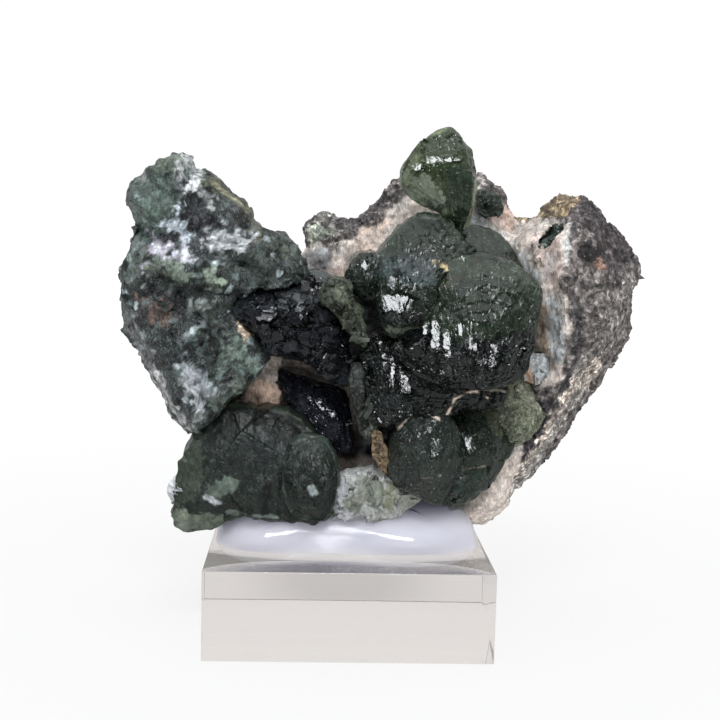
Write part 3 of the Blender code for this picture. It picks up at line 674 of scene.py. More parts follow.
tint(crust, (40, 49, 46), seed=40, luck=grains, mottle=0.5, blocks=grains, cracks=0.5, jags=1.7, palette=[
    ((15, 19, 19), -1.0, -0.45), ((78, 92, 90), 0.5, 0.75), ((150, 162, 164), 0.75, 0.92),
    ((31, 44, 34), -0.3, 0.0)], bands=[
    ([(-38, 82), (-34, 78), (-38, 75)], 4.5, (64, 80, 73)), ([(-35, 87), (-31, 86)], 1.8, (86, 100, 84)),
    ([(-41, 76.5), (-40, 74)], 2.0, (88, 103, 99)), ([(-38, 83)], 1.1, (122, 130, 128)),
    ([(-29.5, 86), (-28.5, 82), (-26, 78)], 1.9, (192, 196, 198)), ([(-26, 83.5), (-19, 78.5)], 1.7, (54, 58, 42)),
    ([(-19.5, 77), (-18.5, 72)], 1.3, (92, 94, 76)), ([(-31.5, 75), (-31, 73)], 2.0, (186, 198, 208)),
    ([(-28, 77), (-27, 72)], 2.2, (32, 29, 36)), ([(-24, 77), (-21, 76)], 1.7, (46, 48, 46)),
    ([(-25, 72.5), (-20.5, 71.5)], 1.8, (158, 163, 165)), ([(-35.5, 71), (-33.5, 70)], 1.9, (184, 182, 194)),
    ([(-31.5, 69)], 1.6, (172, 174, 184)), ([(-37, 66.5)], 1.5, (176, 176, 188)),
    ([(-39.5, 70.5), (-40, 66)], 1.6, (100, 112, 108)), ([(-36.5, 66.5), (-31, 65.5)], 1.5, (104, 117, 104)),
    # Painted shade: the pressed-in hollow here is painted near black.
    ([(-37, 62), (-32, 60.5)], 2.3, (24, 22, 24)), ([(-38, 58)], 2.4, (38, 33, 33)),
    ([(-38, 60.5), (-34, 58)], 1.3, (88, 68, 58)), ([(-25.5, 65.5), (-25, 63)], 1.9, (112, 124, 110)),
    # Painted shade: the pressed-in fissure is painted dark.
    ([(-27.5, 60)], 1.5, (132, 142, 138)), ([(-33, 62.5), (-20, 62)], 0.8, (28, 32, 32)),
    ([(-18, 68), (-15, 67)], 2.6, (50, 60, 54)), ([(-13, 71)], 2.0, (66, 74, 66)),
    ([(-25, 53), (-22, 51)], 2.3, (46, 56, 52)), ([(-21, 51.5), (-19, 49)], 2.3, (84, 98, 90)),
    ([(-31, 49), (-25.5, 45)], 1.3, (126, 134, 138)), ([(-30.5, 47.5), (-26, 40)], 1.5, (142, 147, 151)),
    ([(-32, 44.5), (-28.5, 37.5)], 0.7, (132, 134, 136)), ([(-38.0, 50.5), (-31.0, 37)], 1.4, (160, 160, 162)),
    ([(-35.0, 50), (-29.3, 39)], 0.9, (40, 44, 44)),
    ([(-25.7, 84.3), (-18.6, 79.2)], 0.35, (134, 130, 96)), ([(-26.3, 82.6), (-19.2, 77.4)], 0.3, (116, 114, 86)),
    ([(-40.5, 57), (-38, 49)], 1.3, (108, 110, 112)),
    ([(-21, 46), (-22, 42)], 2.2, (84, 96, 86)), ([(-19.5, 56)], 1.3, (196, 176, 154)),
    ([(-24, 43), (-27, 37)], 1.3, (68, 78, 70)), ([(-17, 61), (-15, 57)], 1.5, (34, 38, 40))])
place, normal = points_of(crust)
record(crust, "frost", 0.5 + 0.3 * sway(place, 2.0, 36))
crisp(crust, 35)
crusty = mineral("granular_prehnite", speck=0.55, grain=1500.0, gloss=0.2, frost=0.55, relief=1.2,
                 plate=(1300, 1300, 600), turn=-33.0, cover=0.7, scratch=0.4, flecks_and_painted_glints=0.4, pale=(176, 186, 188))
crust.data.materials.append(crusty)
belongs(crust, "prehnite_crust_left")


# Main cluster: fans of dark green prehnite grown together and overlapping like shingles. Each is
# a swollen shell of parallel plates, glossy where the plates end and frosted on its crown.
def evenly(outline):
    """A smooth closed curve through an outline's points, and the length round it, in mm."""
    points = np.array(outline, float)
    t = np.linspace(0, 1, 12, endpoint=False)[:, None]
    before, there, after = (np.roll(points, turn, axis=0) for turn in (1, -1, -2))
    curve = np.concatenate([
        0.5 * (2 * b + (c - a) * t + (2 * a - 5 * b + 4 * c - d) * t ** 2 + (3 * b - a - 3 * c + d) * t ** 3)
        for a, b, c, d in zip(before, points, there, after)])
    closed = np.vstack([curve, curve[:1]])
    run = np.concatenate([[0], np.cumsum(np.linalg.norm(np.diff(closed, axis=0), axis=1))])
    return closed, run


def grow(name, outline, depth, front, back, crest=None, lean=(0.0, 0.0), dome=1.8, mesh_size=0.24, ragged=0.3):
    """A shell-like crystal: a ball pressed to an outline seen from the front, in mm.

    The outline stands at a depth and leans by so much depth for each mm of X and Z. The crest is
    the (x, z) of the most forward point. A low dome gives a cone, a high one a flat face.
    """
    closed, run = evenly(outline)
    middle = closed[:-1].mean(axis=0)
    crest = middle if crest is None else np.array(crest, float)
    around = int(run[-1] / mesh_size)
    rings = 4 * int(0.14 * run[-1] / mesh_size / 2)
    bpy.ops.object.select_all(action="DESELECT")
    bpy.ops.mesh.primitive_uv_sphere_add(segments=around, ring_count=rings, radius=1.0,
                                         rotation=(math.pi / 2, 0, 0))
    made = bpy.context.object
    made.name = name
    bpy.ops.object.transform_apply(rotation=True)
    place, _ = points_of(made)
    place *= MM
    turn = np.arctan2(place[:, 2], place[:, 0]) / math.tau % 1.0 * run[-1]
    rim = np.column_stack([np.interp(turn, run, closed[:, axis]) for axis in (0, 1)])
    upward = np.arcsin(np.clip(-place[:, 1], -1, 1)) / math.pi + 0.5
    ahead = upward >= 0.3 - 1e-4
    rise = np.where(ahead, (upward - 0.3) / 0.7, 1 - upward / 0.3).clip(0, 1)
    behind = np.clip(rise / 0.75, 0, 1)
    shrink = np.where(ahead, 1 - rise, (1 - 0.12 * behind ** 2) * np.sqrt(1 - np.clip(rise * 4 - 3, 0, 1) ** 2))
    reach = np.where(ahead, -front * (1 - shrink ** dome), back * behind)
    top = np.where(ahead[:, None], crest, middle)
    flat = middle + (top - middle) * (1 - shrink)[:, None] + (rim - middle) * shrink[:, None]
    away = depth + (flat - middle) @ np.array(lean) + reach
    nick = np.column_stack([sway(np.column_stack([rim, away * 0.3]), 1.3, seed) for seed in (5, 6)])
    flat += ragged * nick * (shrink ** 3)[:, None]
    move_points(made, np.column_stack([flat[:, 0], away, flat[:, 1]]))
    bpy.ops.object.mode_set(mode="EDIT")
    bpy.ops.mesh.select_all(action="SELECT")
    bpy.ops.mesh.normals_make_consistent(inside=False)
    bpy.ops.object.mode_set(mode="OBJECT")
    bpy.ops.object.shade_smooth()
    return made, np.where(ahead, shrink, 1.0)


def face_plates(piece, plates):
    """Turns patches of a crystal's front into single flat faces.

    A plate is (x, z, half width, half height, turn, tilt up, tilt aside, how far proud), in mm and
    degrees as seen from the front.
    """
    for x, z, wide, tall, turn, tilt_up, tilt_aside, proud in plates:
        place, normal = points_of(piece)
        c, s = math.cos(math.radians(turn)), math.sin(math.radians(turn))
        across = (place[:, 0] - x) * c + (place[:, 2] - z) * s
        up = (place[:, 2] - z) * c - (place[:, 0] - x) * s
        outside = np.maximum(np.abs(across) / wide, np.abs(up) / tall) + 0.25 * sway(place, 0.6, 3)
        held = np.clip((1.08 - outside) / 0.16, 0, 1) * (normal[:, 1] < 0.3)
        if held.sum() < 3:
            continue
        centre = (place[:, 1] * held).sum() / held.sum()
        flat = (centre - proud + math.tan(math.radians(tilt_up)) * (place[:, 2] - z)
                + math.tan(math.radians(tilt_aside)) * (place[:, 0] - x))
        place[:, 1] += 0.85 * held * np.clip(flat - place[:, 1], -1.2, 1.2)
        move_points(piece, place)


def mature(piece, inward, seed, ground, bands=(), plates=(), coarse=(2.6, 3.5, 4.2), fine=(1.0, 2.0, 1.6),
           tilt=0.2, ledges=0.12, frost=0.2, frosted=(), mottle=0.22, flat=0.5, step=0.14, cracks=0.15,
           palette=(), root=None, rim=None, planes=(7.0, 8.0, 7.0), blocky=6.0):
    """Gives a crystal its plates, ledges and colours, and keeps the numbers that its finish reads.

    The root is the (x, z) that its fibres spread from, and the rim the colour of its thin pale border, partly painted
    rim light.
    """
    held = np.clip((1 - inward) * 12, 0.25, 1)
    swell(piece, 5.0, 0.4, seed)
    cleave(piece, planes, 0.6, 0.1, 0.3, seed + 3, where=held)
    swell(piece, 2.0, 0.12, seed + 4)
    blocks = cleave(piece, coarse, flat, tilt, step, seed + 1, blocky=blocky, where=held)
    luck = cleave(piece, fine, flat, tilt * 1.3, step / 2, seed + 2, blocky=blocky, where=held)
    place, normal = points_of(piece)
    steps = (1 - inward) * 9 + 1.2 * sway(place, 3.5, seed + 5)
    terrace = ledges * (np.abs(steps % 1.0 - 0.15) / 0.85 - 0.5) * (0.5 + 0.5 * sway(place, 4.0, seed + 6)) * 2
    groove = 0.35 * cracks * np.clip(1 - blocks[:, 6] / 0.12, 0, 1)
    move_points(piece, place + normal * ((terrace - groove) * held)[:, None])
    face_plates(piece, plates)
    if rim is not None:
        # A thin pale border, partly the crystal's paler rim and partly painted rim light.
        pale_edge_and_painted_rim_light = 0.8 * np.clip((inward - 0.93 + 0.07 * sway(place, 1.5, seed + 8)) / 0.1, 0, 1) * (normal[:, 1] < 0.4)
    tint(piece, ground, bands, seed=seed + 10, mottle=mottle, luck=luck, palette=palette, blocks=blocks, cracks=cracks)
    if rim is not None:
        tone = np.empty(len(place) * 4, np.float32)
        piece.data.attributes["tint"].data.foreach_get("color", tone)
        tone = tone.reshape(-1, 4)
        tone[:, :3] += (np.array(paint(*rim)[:3]) - tone[:, :3]) * pale_edge_and_painted_rim_light[:, None]
        piece.data.attributes["tint"].data.foreach_set("color", tone.ravel())
    haze = np.full(len(place), float(frost))
    for points, half, level in frosted:
        far = from_line(place, points) + 0.8 * sway(place, 1.5, seed + 7)
        haze += (level - haze) * np.clip((half - far) / 1.5 + 0.5, 0, 1)
    for x, z, wide, tall, *_ in plates:
        haze *= np.clip(from_line(place, [(x, z - tall / 2), (x, z + tall / 2)]) / wide - 0.6, 0.05, 1)
    record(piece, "frost", haze)
    root = (place[:, 0].mean(), place[:, 2].min()) if root is None else root
    way = place[:, (0, 2)] - root
    reach = np.linalg.norm(way, axis=1, keepdims=True) + 1e-6
    spread = piece.data.attributes.new("spread", "FLOAT_VECTOR", "POINT")
    spread.data.foreach_set("vector", (np.hstack([12 * way / reach, reach]) * MM).astype(np.float32).ravel())
    crisp(piece, 30)


dark_green = mineral("dark_green_prehnite_plates", speck=0.4, cover=0.45, scratch=0.28, flecks_and_painted_glints=0.5, gloss=0.07, frost=0.5,
                     plate=(900, 900, 300), relief=0.7, pale=(140, 150, 138), fanned=True)

fan, inward = grow("fan_upper_left", [(4.2, 62), (3.3, 67.5), (5.5, 71.7), (10.5, 76.8), (15.5, 77.7), (19, 75.5),
                                      (21, 68), (17, 60), (11, 56.5), (6.5, 55.5)],
                   depth=-6, front=5.5, back=15, crest=(9, 61), lean=(0.0, 0.45))
mature(fan, inward, 41, (24, 32, 25), frost=0.2, root=(10, 56), rim=(46, 57, 44),
       # Painted light on this fan: its upward-facing top is painted a lighter green, partly its paler crown and partly
       # painted light, and the bluish band across it is a painted sheen; below the highlight it is painted near black
       # as painted shade, darkest in the crevice at its left.
       bands=[([(6, 72), (12, 76), (17, 75)], 2.6, (32, 42, 34)), ([(7, 68), (12, 67)], 2.4, (46, 58, 58)),
              ([(6, 59), (11, 59.3)], 1.3, (13, 16, 15)), ([(5.2, 57.6), (8, 56.4), (11.2, 57.2)], 0.55, (92, 99, 88)), ([(14.6, 69), (17.4, 67.6)], 0.45, (160, 146, 112)),
              ([(7, 61), (5, 58.5)], 1.6, (26, 31, 30))],
       frosted=[([(6, 73), (16, 75)], 3.5, 0.45), ([(7, 68), (12, 67)], 2.4, 0.6)],
       plates=[(7.6, 61.6, 3.2, 1.6, 4, 28, 0, 0.2), (6.8, 65.3, 1.0, 1.0, 0, 29, 8, 0.2),
               (10.5, 66.5, 1.2, 1.0, 5, 29, -10, 0.0)])
fan.data.materials.append(dark_green)
belongs(fan, "prehnite_fan_cluster")

fan, inward = grow("fan_small_left", [(-0.5, 65), (-1, 67.5), (1, 70.3), (4.5, 70), (6, 66), (4, 62), (0.5, 62.5)],
                   depth=-4, front=4.5, back=12, crest=(2.5, 65), lean=(0.0, 0.4), mesh_size=0.2)
mature(fan, inward, 46, (26, 33, 28), root=(2, 60), rim=(48, 58, 46), plates=[(2.0, 68.3, 0.9, 0.6, 0, 29, 0, 0.1)])
fan.data.materials.append(dark_green)
belongs(fan, "prehnite_fan_cluster")

fan, inward = grow("fan_upper_right", [(17.5, 74.5), (20.5, 75.7), (26, 75), (29.5, 72), (31.5, 68), (32, 62),
                                       (27, 57), (19, 60)],
                   depth=-2, front=5, back=14, crest=(25, 63), lean=(0.1, 0.5))
mature(fan, inward, 51, (25, 33, 25), frost=0.35, tilt=0.1, ledges=0.06, mottle=0.2, root=(22, 58), rim=(42, 53, 40),
       bands=[([(17.8, 74.5), (20.5, 71.5)], 0.4, (190, 172, 142))])
fan.data.materials.append(dark_green)
belongs(fan, "prehnite_fan_cluster")

fan, inward = grow("fan_middle", [(7.3, 53.5), (10, 57.5), (13.5, 64), (16.5, 69), (21, 70.6), (26, 70),
                                  (30.2, 68.3), (34.3, 64.3), (33.2, 57.5), (31.8, 51), (28.6, 47.7), (22, 46.7),
                                  (14, 47.7), (10, 50)],
                   depth=-11.5, front=6.5, back=18, crest=(21, 51), lean=(0.0, 0.3), dome=1.7)
mature(fan, inward, 56, (28, 37, 28), frost=0.12, root=(19, 36), ledges=0.16,
       # Painted light and shade on this fan: its lower half is painted near black as painted shade, and its
       # upward-facing top a lighter green, partly its paler crown and partly painted light.
       bands=[([(10, 53), (20, 51), (33, 53)], 4.6, (12, 15, 16)), ([(17, 69), (30, 67.5)], 1.4, (44, 55, 44)),
              ([(32, 66), (33.6, 58)], 1.6, (40, 48, 40)), ([(14.5, 68.3), (17.5, 67.6)], 0.45, (156, 144, 104)),
              ([(14, 65), (18, 66)], 0.8, (48, 54, 40))],
       frosted=[([(16, 64), (31, 65)], 4.5, 0.4), ([(33, 58)], 3.0, 0.4)],
       plates=[(14.4, 56.2, 0.9, 2.9, -3, 28, 4, 0.15), (16.3, 54.6, 0.7, 2.4, 4, 28, -3, 0.25),
               (12.6, 57.0, 0.5, 1.6, -14, 28, 0, 0.1), (18.6, 57.5, 0.4, 1.2, 0, 28, 0, 0.1),
               (20.6, 54.6, 0.8, 0.8, 0, 29, 0, 0.1), (22.3, 52.6, 1.0, 1.1, 20, 29, 6, 0.15),
               (24.4, 53, 1.0, 2.6, -4, 29, 0, 0.25), (26.4, 55.6, 0.7, 0.9, 0, 29, 0, 0.1),
               (10.5, 55.6, 1.8, 0.8, 40, 29, -12, 0.1)])
fan.data.materials.append(dark_green)
belongs(fan, "prehnite_fan_cluster")

fan, inward = grow("fan_dark_middle", [(1.9, 53), (5, 56), (14, 54), (24, 50), (28.5, 47), (27, 43), (18, 41.5),
                                       (9, 40.3), (4.3, 40.3), (2.2, 44.5)],
                   depth=-8.5, front=5.0, back=16, crest=(10, 46), lean=(0.1, 0.25), dome=2.2)
mature(fan, inward, 61, (13, 17, 17), tilt=0.28, ledges=0.2, frost=0.12, root=(12, 32),
       bands=[([(16.8, 40.5), (18.5, 44.5), (22.1, 46), (24.8, 44.6)], 0.2, (206, 188, 172)),
              ([(20, 46.8), (28, 45.5)], 0.2, (150, 146, 134)), ([(6, 44), (12, 43)], 1.4, (27, 32, 32))],
       plates=[(9.5, 47.4, 1.0, 1.8, 0, 30, 0, 0.2), (7.2, 48.6, 0.5, 2.2, -8, 29, 0, 0.1), (3.4, 48.4, 0.5, 1.6, 10, 30, 6, 0.1)])
fan.data.materials.append(dark_green)
belongs(fan, "prehnite_fan_cluster")

fan, inward = grow("fan_lower_left", [(6.8, 32), (7.3, 37), (9.7, 40.6), (12.5, 42.3), (17, 42), (20, 38),
                                      (19, 30), (16, 25.5), (12, 27), (8.5, 29)],
                   depth=-12.2, front=3.4, back=14, crest=(13, 34), lean=(0.0, 0.12), dome=2.0)
mature(fan, inward, 66, (31, 38, 34), frost=0.35, tilt=0.12, ledges=0.08, mottle=0.2, root=(19, 29),
       bands=[([(8.5, 39), (10.5, 41.3), (13, 42.2), (16, 40.8), (17.2, 39.6)], 0.22, (222, 206, 192)),
              ([(11.9, 30.5), (16.2, 31)], 0.15, (120, 114, 100)), ([(10, 29.5), (14, 28)], 1.6, (28, 32, 30)),
              ([(8, 33), (9, 37)], 1.2, (27, 30, 27))],
       plates=[(15.2, 36.2, 1.1, 1.9, 0, 30, 0, 0.3)])
fan.data.materials.append(dark_green)
belongs(fan, "prehnite_fan_cluster")

fan, inward = grow("fan_lower", [(15, 41), (18, 44), (24, 45.5), (28.5, 42.5), (30.8, 36), (29, 32.3),
                                 (26.5, 28.3), (21, 24.2), (17, 24.8), (14.5, 32)],
                   depth=-6, front=5.5, back=12, crest=(20, 34), lean=(0.0, 0.3), dome=1.9)
mature(fan, inward, 71, (25, 32, 25), frost=0.3, tilt=0.16, ledges=0.1, root=(26, 26), rim=(44, 54, 41),
       bands=[([(24.8, 44.6), (26.8, 40.1)], 0.2, (200, 180, 164)), ([(26, 42), (28, 38)], 1.3, (58, 62, 50)),
              ([(19, 28.5), (24, 29)], 2.6, (38, 46, 42)), ([(17, 31), (25, 32)], 0.15, (110, 110, 98)),
              ([(17.5, 40), (20, 36)], 2.0, (25, 29, 26))],
       plates=[(21.2, 37.4, 0.9, 2.8, 18, 31, 2, 0.5), (21.5, 29.3, 4.2, 2.4, 0, 14, -6, 0.1)])
fan.data.materials.append(dark_green)
belongs(fan, "prehnite_fan_cluster")

olive = mineral("olive_prehnite_plates", speck=0.7, cover=0.75, flecks_and_painted_glints=0.9, gloss=0.12, frost=0.5,
                plate=(1500, 1500, 700), pale=(214, 216, 196), fanned=True)
fan, inward = grow("fan_right", [(26.5, 46.5), (32.5, 46.5), (35.5, 43.8), (36.8, 40), (34.3, 37), (30.3, 35),
                                 (26, 38)],
                   depth=-3, front=4, back=9, crest=(31, 41), lean=(0.1, 0.3), mesh_size=0.2)
mature(fan, inward, 76, (100, 106, 88), frost=0.25, root=(26, 40), mottle=0.35, tilt=0.35, coarse=(1.6, 2, 1.8), fine=(0.7, 1, 0.8),
       bands=[([(27, 45), (29, 39)], 1.5, (74, 80, 66)), ([(32, 45.5), (35.5, 42)], 0.8, (132, 136, 118))])
fan.data.materials.append(olive)
belongs(fan, "prehnite_fan_cluster")


# Top blade: one free-standing olive crystal, milky towards its foot, with a thin pale plate
# standing edge-on along its right side.
olive_clear = mineral("olive_clear_plates", speck=0.25, cover=0.35, flecks_and_painted_glints=0.35, gloss=0.08, frost=0.4, relief=0.5,
                      plate=(500, 500, 300), fanned=True)
blade, inward = grow("blade_top", [(8.5, 84), (9.3, 87), (11.5, 90), (14, 92), (17.5, 94), (20.5, 91.7), (22.6, 88),
                                   (23.2, 84), (22.7, 80), (21.3, 74), (19.5, 75), (16, 77.5), (12, 79), (9.5, 81)],
                     depth=2, front=4.5, back=4, crest=(15.5, 85.5), lean=(0.1, 0.15), dome=2.0, mesh_size=0.2)
mature(blade, inward, 81, (42, 53, 33), tilt=0.12, ledges=0.08, frost=0.2, mottle=0.15, root=(21, 66), rim=(58, 70, 46),
       bands=[([(12, 82), (15, 79)], 2.6, (100, 109, 94)), ([(19, 84), (20, 77)], 2.4, (36, 46, 35)),
              ([(10, 84), (11.5, 88)], 1.2, (84, 92, 74)), ([(22.8, 84), (22.3, 79), (21, 74.5)], 0.5, (110, 116, 100)),
              ([(13.5, 92), (17.5, 93.6)], 0.4, (120, 130, 100))],
       plates=[(16.0, 88.0, 3.2, 1.0, 6, 25, 0, 0.1), (11.5, 86.2, 1.2, 0.8, 0, 25, -4, 0.1)])
blade.data.materials.append(olive_clear)
belongs(blade, "prehnite_blade_top")


# Buds: two small crystals of their own on the coated wall, one high behind and one by the wing
bud, inward = grow("bud_right", [(35.4, 71.2), (36.6, 73), (38.2, 74), (38.6, 76), (40.8, 76.2), (41.8, 74.4),
                                  (40.4, 72.6), (40.2, 70.4), (38.4, 68.6), (36.4, 69)],
                   depth=3, front=2.5, back=6, mesh_size=0.18)
mature(bud, inward, 86, (46, 60, 54), tilt=0.35, coarse=(1.6, 2, 1.6), fine=(0.7, 1, 0.7), frost=0.4)
bud.data.materials.append(olive_clear)
belongs(bud, "prehnite_bud_right")
bud, inward = grow("bud_upper", [(24.5, 82), (27, 81.7), (28.6, 80.5), (28.5, 78), (25, 77.8)],
                   depth=11.5, front=2.2, back=5, mesh_size=0.18)
mature(bud, inward, 91, (42, 52, 44), tilt=0.35, coarse=(1.6, 2, 1.6), fine=(0.7, 1, 0.7), frost=0.5)
bud.data.materials.append(dark_green)
belongs(bud, "prehnite_bud_upper")


# Dark fan: the near-black fan left of the middle, broken into flat blue-grey blocks.
black_green = mineral("black_green_prehnite_plates", speck=0.2, cover=0.3, flecks_and_painted_glints=0.2, gloss=0.08, frost=0.4,
                      relief=0.45, plate=(500, 400, 420), turn=-20.0, pale=(132, 138, 142))
fan, inward = grow("fan_dark", [(-22, 59), (-20, 62), (-14.5, 63.5), (-11, 63.5), (-7.5, 66.7), (-4, 66),
                                (-1.5, 63), (-0.7, 54), (0, 49.5), (-1, 45.5), (-8, 50), (-15, 51.5), (-18, 55)],
                   depth=-5, front=5.5, back=11, crest=(-8, 56), lean=(0.1, 0.2), dome=2.4)
mature(fan, inward, 101, (24, 27, 31), tilt=0.3, coarse=(3.6, 4.2, 2.8), fine=(2.8, 3.2, 2.4), ledges=0.0, frost=0.3,
       mottle=0.1, flat=0.9, step=0.35, cracks=0.9, palette=[((40, 44, 50), 0.2, 0.7), ((15, 17, 20), -0.9, -0.4)],
       bands=[([(-9, 66), (-4, 65)], 1.6, (54, 61, 60)), ([(-12, 61.5), (-7, 61)], 1.2, (50, 55, 58)),
              ([(-20, 57), (-17, 58)], 1.6, (22, 25, 30))])
fan.data.materials.append(black_green)
belongs(fan, "prehnite_fan_dark")


# Cavity crystal: a black crystal hanging in the hollow under the dark fan, its face ribbed
crystal, inward = grow("cavity_crystal", [(-13.5, 47.5), (-5.5, 45.5), (-0.5, 43.5), (0.5, 37), (0.5, 33),
                                          (-3.5, 33.5), (-8, 37), (-12, 41.5)],
                       depth=0, front=4, back=11, crest=(-6, 41), lean=(0.0, 0.4), dome=2.0)
mature(crystal, inward, 106, (24, 26, 34), tilt=0.25, frost=0.2,
       plates=[(-7.4, 43.4, 0.9, 1.6, 35, 30, 0, 0.1), (-5.5, 42.4, 1.0, 2.2, 35, 30, 0, 0.2),
               (-3.7, 41.0, 0.8, 1.8, 35, 30, 0, 0.1)])
crystal.data.materials.append(black_green)
belongs(crystal, "prehnite_crystal_cavity")


# Blades at the crevice: two thin grey-green plates, one over the dark fan and one below it
grey_green = mineral("grey_green_prehnite_plates", speck=0.35, cover=0.3, flecks_and_painted_glints=0.5, gloss=0.3, frost=0.6,
                     relief=0.8, plate=(900, 500, 400), turn=-25.0, pale=(160, 166, 152))
blade, inward = grow("blade_olive", [(-4.5, 66), (-1, 65), (-0.3, 62), (1.3, 60), (2.5, 55), (2, 53.5), (-0.7, 56.5),
                                     (-3, 59.5), (-6, 62), (-5.8, 64)],
                     depth=-11, front=0.9, back=5, lean=(0.2, 0.3), dome=2.5, mesh_size=0.2)
mature(blade, inward, 111, (58, 64, 52), tilt=0.35, coarse=(2.4, 2, 2.8), fine=(1.2, 1, 1.4), frost=0.4, flat=0.8,
       step=0.25, cracks=0.5,
       bands=[([(-3, 64), (-1.5, 62)], 1.0, (88, 94, 78)), ([(0.5, 57), (1.5, 55)], 0.8, (56, 60, 52))])
blade.data.materials.append(grey_green)
belongs(blade, "prehnite_blade_olive")
blade, inward = grow("blade_side", [(0, 50), (0, 46), (1, 42), (2, 37.5), (3.5, 35.5), (5, 37.5), (5.5, 40),
                                    (3.5, 42), (3, 46), (2, 50)],
                     depth=-10, front=0.8, back=6, dome=2.5, mesh_size=0.18)
mature(blade, inward, 116, (52, 57, 52), tilt=0.3, coarse=(2, 2, 2.8), fine=(1.2, 1, 1.4), frost=0.4, flat=0.8,
       step=0.2, cracks=0.5,
       bands=[([(0.6, 49), (1, 45)], 0.7, (48, 52, 50)), ([(3.5, 38.5)], 1.1, (104, 112, 104))])
blade.data.materials.append(grey_green)
belongs(blade, "prehnite_blade_side")


# Front fan: the large fan that stands on the glue at the left, fibrous and dull, with a smaller
# fan over its right side and flaky pale crystals at its lower left corner.
fibrous = mineral("fibrous_prehnite", speck=0.3, cover=0.56, scratch=0.32, flecks_and_painted_glints=0.3, gloss=0.2, frost=0.6, relief=0.6,
                  plate=(2200, 2200, 800), pale=(118, 130, 122), ior=1.42, fanned=True)
fan, inward = grow("fan_front_large", [(-31.5, 31.5), (-29, 35), (-24, 41), (-18.5, 41.5), (-12, 41), (-6, 36.5),
                                       (-3.5, 31), (-4, 22), (-14.5, 21.6), (-18.5, 22.5), (-25, 19.3),
                                       (-31.7, 19.8), (-32, 25)],
                   depth=-8, front=4.0, back=12, crest=(-17, 31), lean=(0.0, 0.3), dome=2.6, ragged=0.6)
mature(fan, inward, 121, (25, 32, 28), tilt=0.07, ledges=0.04, frost=0.4, flat=0.25, step=0.07, cracks=0.0,
       planes=(16.0, 16.0, 16.0), root=(-14, 10), rim=(46, 57, 42),
       # Painted shadow: the fan's top border is painted near black where the stone above overhangs it.
       bands=[([(-30, 34), (-29.5, 26)], 2.2, (50, 58, 50)), ([(-25, 40.5), (-14, 40.3), (-8, 37)], 1.8, (17, 20, 18)),
              ([(-25, 26.5), (-21.5, 28)], 1.2, (80, 92, 84)), ([(-26, 25.7), (-23.5, 24.7)], 0.5, (156, 162, 166)),
              ([(-31, 21.5), (-24, 21)], 1.6, (86, 94, 82)), ([(-22, 22.8), (-12, 22.4)], 0.45, (92, 102, 96)),
              ([(-16, 33), (-10, 30)], 4.0, (28, 34, 33)), ([(-15, 29), (-15.5, 23)], 0.6, (12, 15, 14)),
              ([(-12.5, 30), (-12.8, 23)], 0.5, (12, 15, 14))])
fan.data.materials.append(fibrous)
belongs(fan, "prehnite_fan_front")
fan, inward = grow("fan_front_small", [(-12, 34), (-9, 37), (-6, 37), (-3.5, 35), (-2.2, 29.5), (-3.8, 22.3),
                                       (-9, 22.3), (-12, 26)],
                   depth=-11.2, front=2.6, back=9, crest=(-7, 30), lean=(0.0, 0.25), dome=2.2)
mature(fan, inward, 126, (24, 31, 27), frost=0.3, tilt=0.2, root=(-7, 16), rim=(66, 78, 70),
       bands=[([(-7, 28.5), (-6.4, 27.6)], 0.6, (136, 146, 146)), ([(-10, 35), (-5, 35.5)], 1.2, (52, 60, 56))])
fan.data.materials.append(fibrous)
belongs(fan, "prehnite_fan_front")


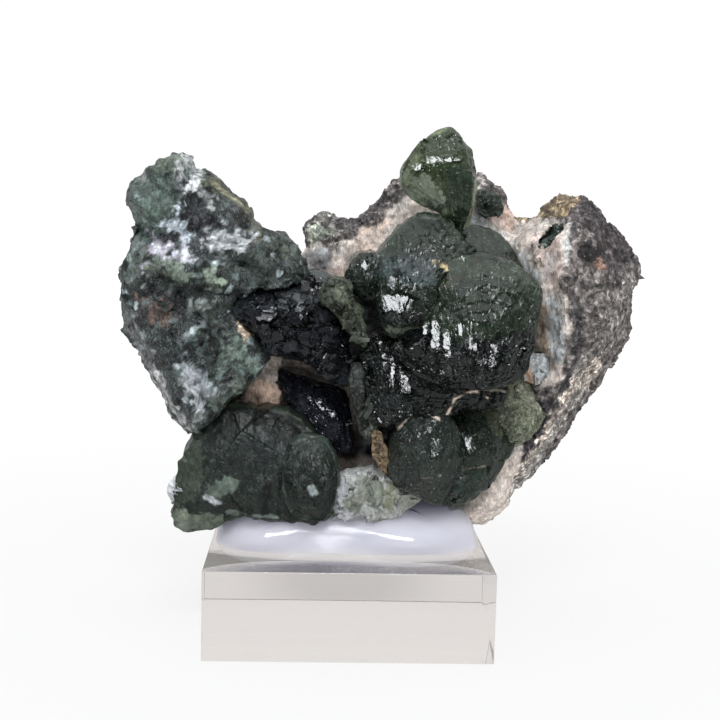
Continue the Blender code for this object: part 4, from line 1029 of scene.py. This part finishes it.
# Chips at the base: broken pale prehnite between the front fan and the main cluster
chip = mineral("pale_prehnite_chips", speck=0.15, cover=0.3, flecks_and_painted_glints=0.5, gloss=0.12, frost=0.5, relief=0.7,
               plate=(700, 700, 700), pale=(206, 210, 206))
chips, inward = grow("chips_base", [(-3.5, 29), (1, 30.5), (5.5, 30.5), (10, 29.5), (14.5, 26.5), (11.5, 24),
                                    (6.5, 22), (1, 21.8), (-4, 22.5)],
                     depth=-9.5, front=2.8, back=7, crest=(4, 26), dome=2.4, mesh_size=0.18, ragged=0.5)
mature(chips, inward, 131, (134, 138, 130), tilt=0.4, coarse=(4.4, 4.4, 4.4), fine=(2.2, 2.6, 2.2), frost=0.15, blocky=2.0,
       mottle=0.1, flat=0.55, step=0.16, cracks=0.0, ledges=0.0,
       palette=[((166, 169, 168), 0.3, 1.0), ((106, 111, 100), -1.0, -0.4)],
       bands=[([(-2.5, 28), (-2, 24)], 1.7, (178, 180, 184)), ([(3.5, 29), (5, 25)], 1.2, (114, 121, 112)),
              ([(8, 28), (7.5, 24.5)], 1.4, (126, 130, 112)), ([(11, 28), (13, 26.5)], 1.1, (150, 156, 146)),
              ([(-2, 22.8), (0, 23)], 0.8, (182, 184, 188))])
chips.data.materials.append(chip)
belongs(chips, "prehnite_chips_base")


# Rust flake: a sliver of iron-stained rock caught in the crevice
flake, inward = grow("flake", [(4.1, 37.8), (5.3, 38), (5.9, 36), (6.8, 33), (6.6, 30), (5.6, 31), (4.4, 34.5)],
                     depth=-12, front=1.0, back=2.0, dome=2.0, mesh_size=0.14, ragged=0.4)
mature(flake, inward, 136, (122, 105, 84), tilt=0.6, coarse=(1.2, 1.2, 1.2), fine=(0.5, 0.5, 0.5), frost=0.9,
       mottle=0.35)
flake.data.materials.append(mineral("iron_stained_rock", speck=0.6, grain=1800.0, gloss=0.6, frost=0.9, cover=0.2,
                                    pale=(214, 196, 168), ior=1.5))
belongs(flake, "rust_flake")


# Calcite and quartz: a chalky patch against the wing and a bead at the front fan's left corner
chalk = mineral("chalky_white", speck=0.15, cover=0.15, flecks_and_painted_glints=0.3, gloss=0.35, frost=0.6, relief=0.6,
                plate=(500, 500, 500), pale=(214, 216, 216), ior=1.5)
patch, inward = grow("calcite", [(34.5, 52), (36, 51), (37.4, 52.2), (38.2, 48), (36.8, 46.2), (37.4, 44.6), (35.5, 43), (34.2, 45), (33.3, 47), (33, 49)],
                     depth=0, front=2.0, back=4.5, mesh_size=0.18, ragged=0.6)
mature(patch, inward, 141, (212, 218, 220), tilt=0.4, mottle=0.12,
       bands=[([(33.2, 50), (34, 46)], 0.7, (206, 176, 156))])
patch.data.materials.append(chalk)
belongs(patch, "calcite_patch")
bead, inward = grow("bead", [(-31.3, 29), (-32.7, 27), (-32.7, 24.5), (-31.5, 23.3), (-30, 25), (-30, 28)],
                    depth=-7.5, front=2.0, back=3, mesh_size=0.18)
mature(bead, inward, 146, (186, 190, 194), tilt=0.08, mottle=0.1)
bead.data.materials.append(chalk)
belongs(bead, "quartz_bead")
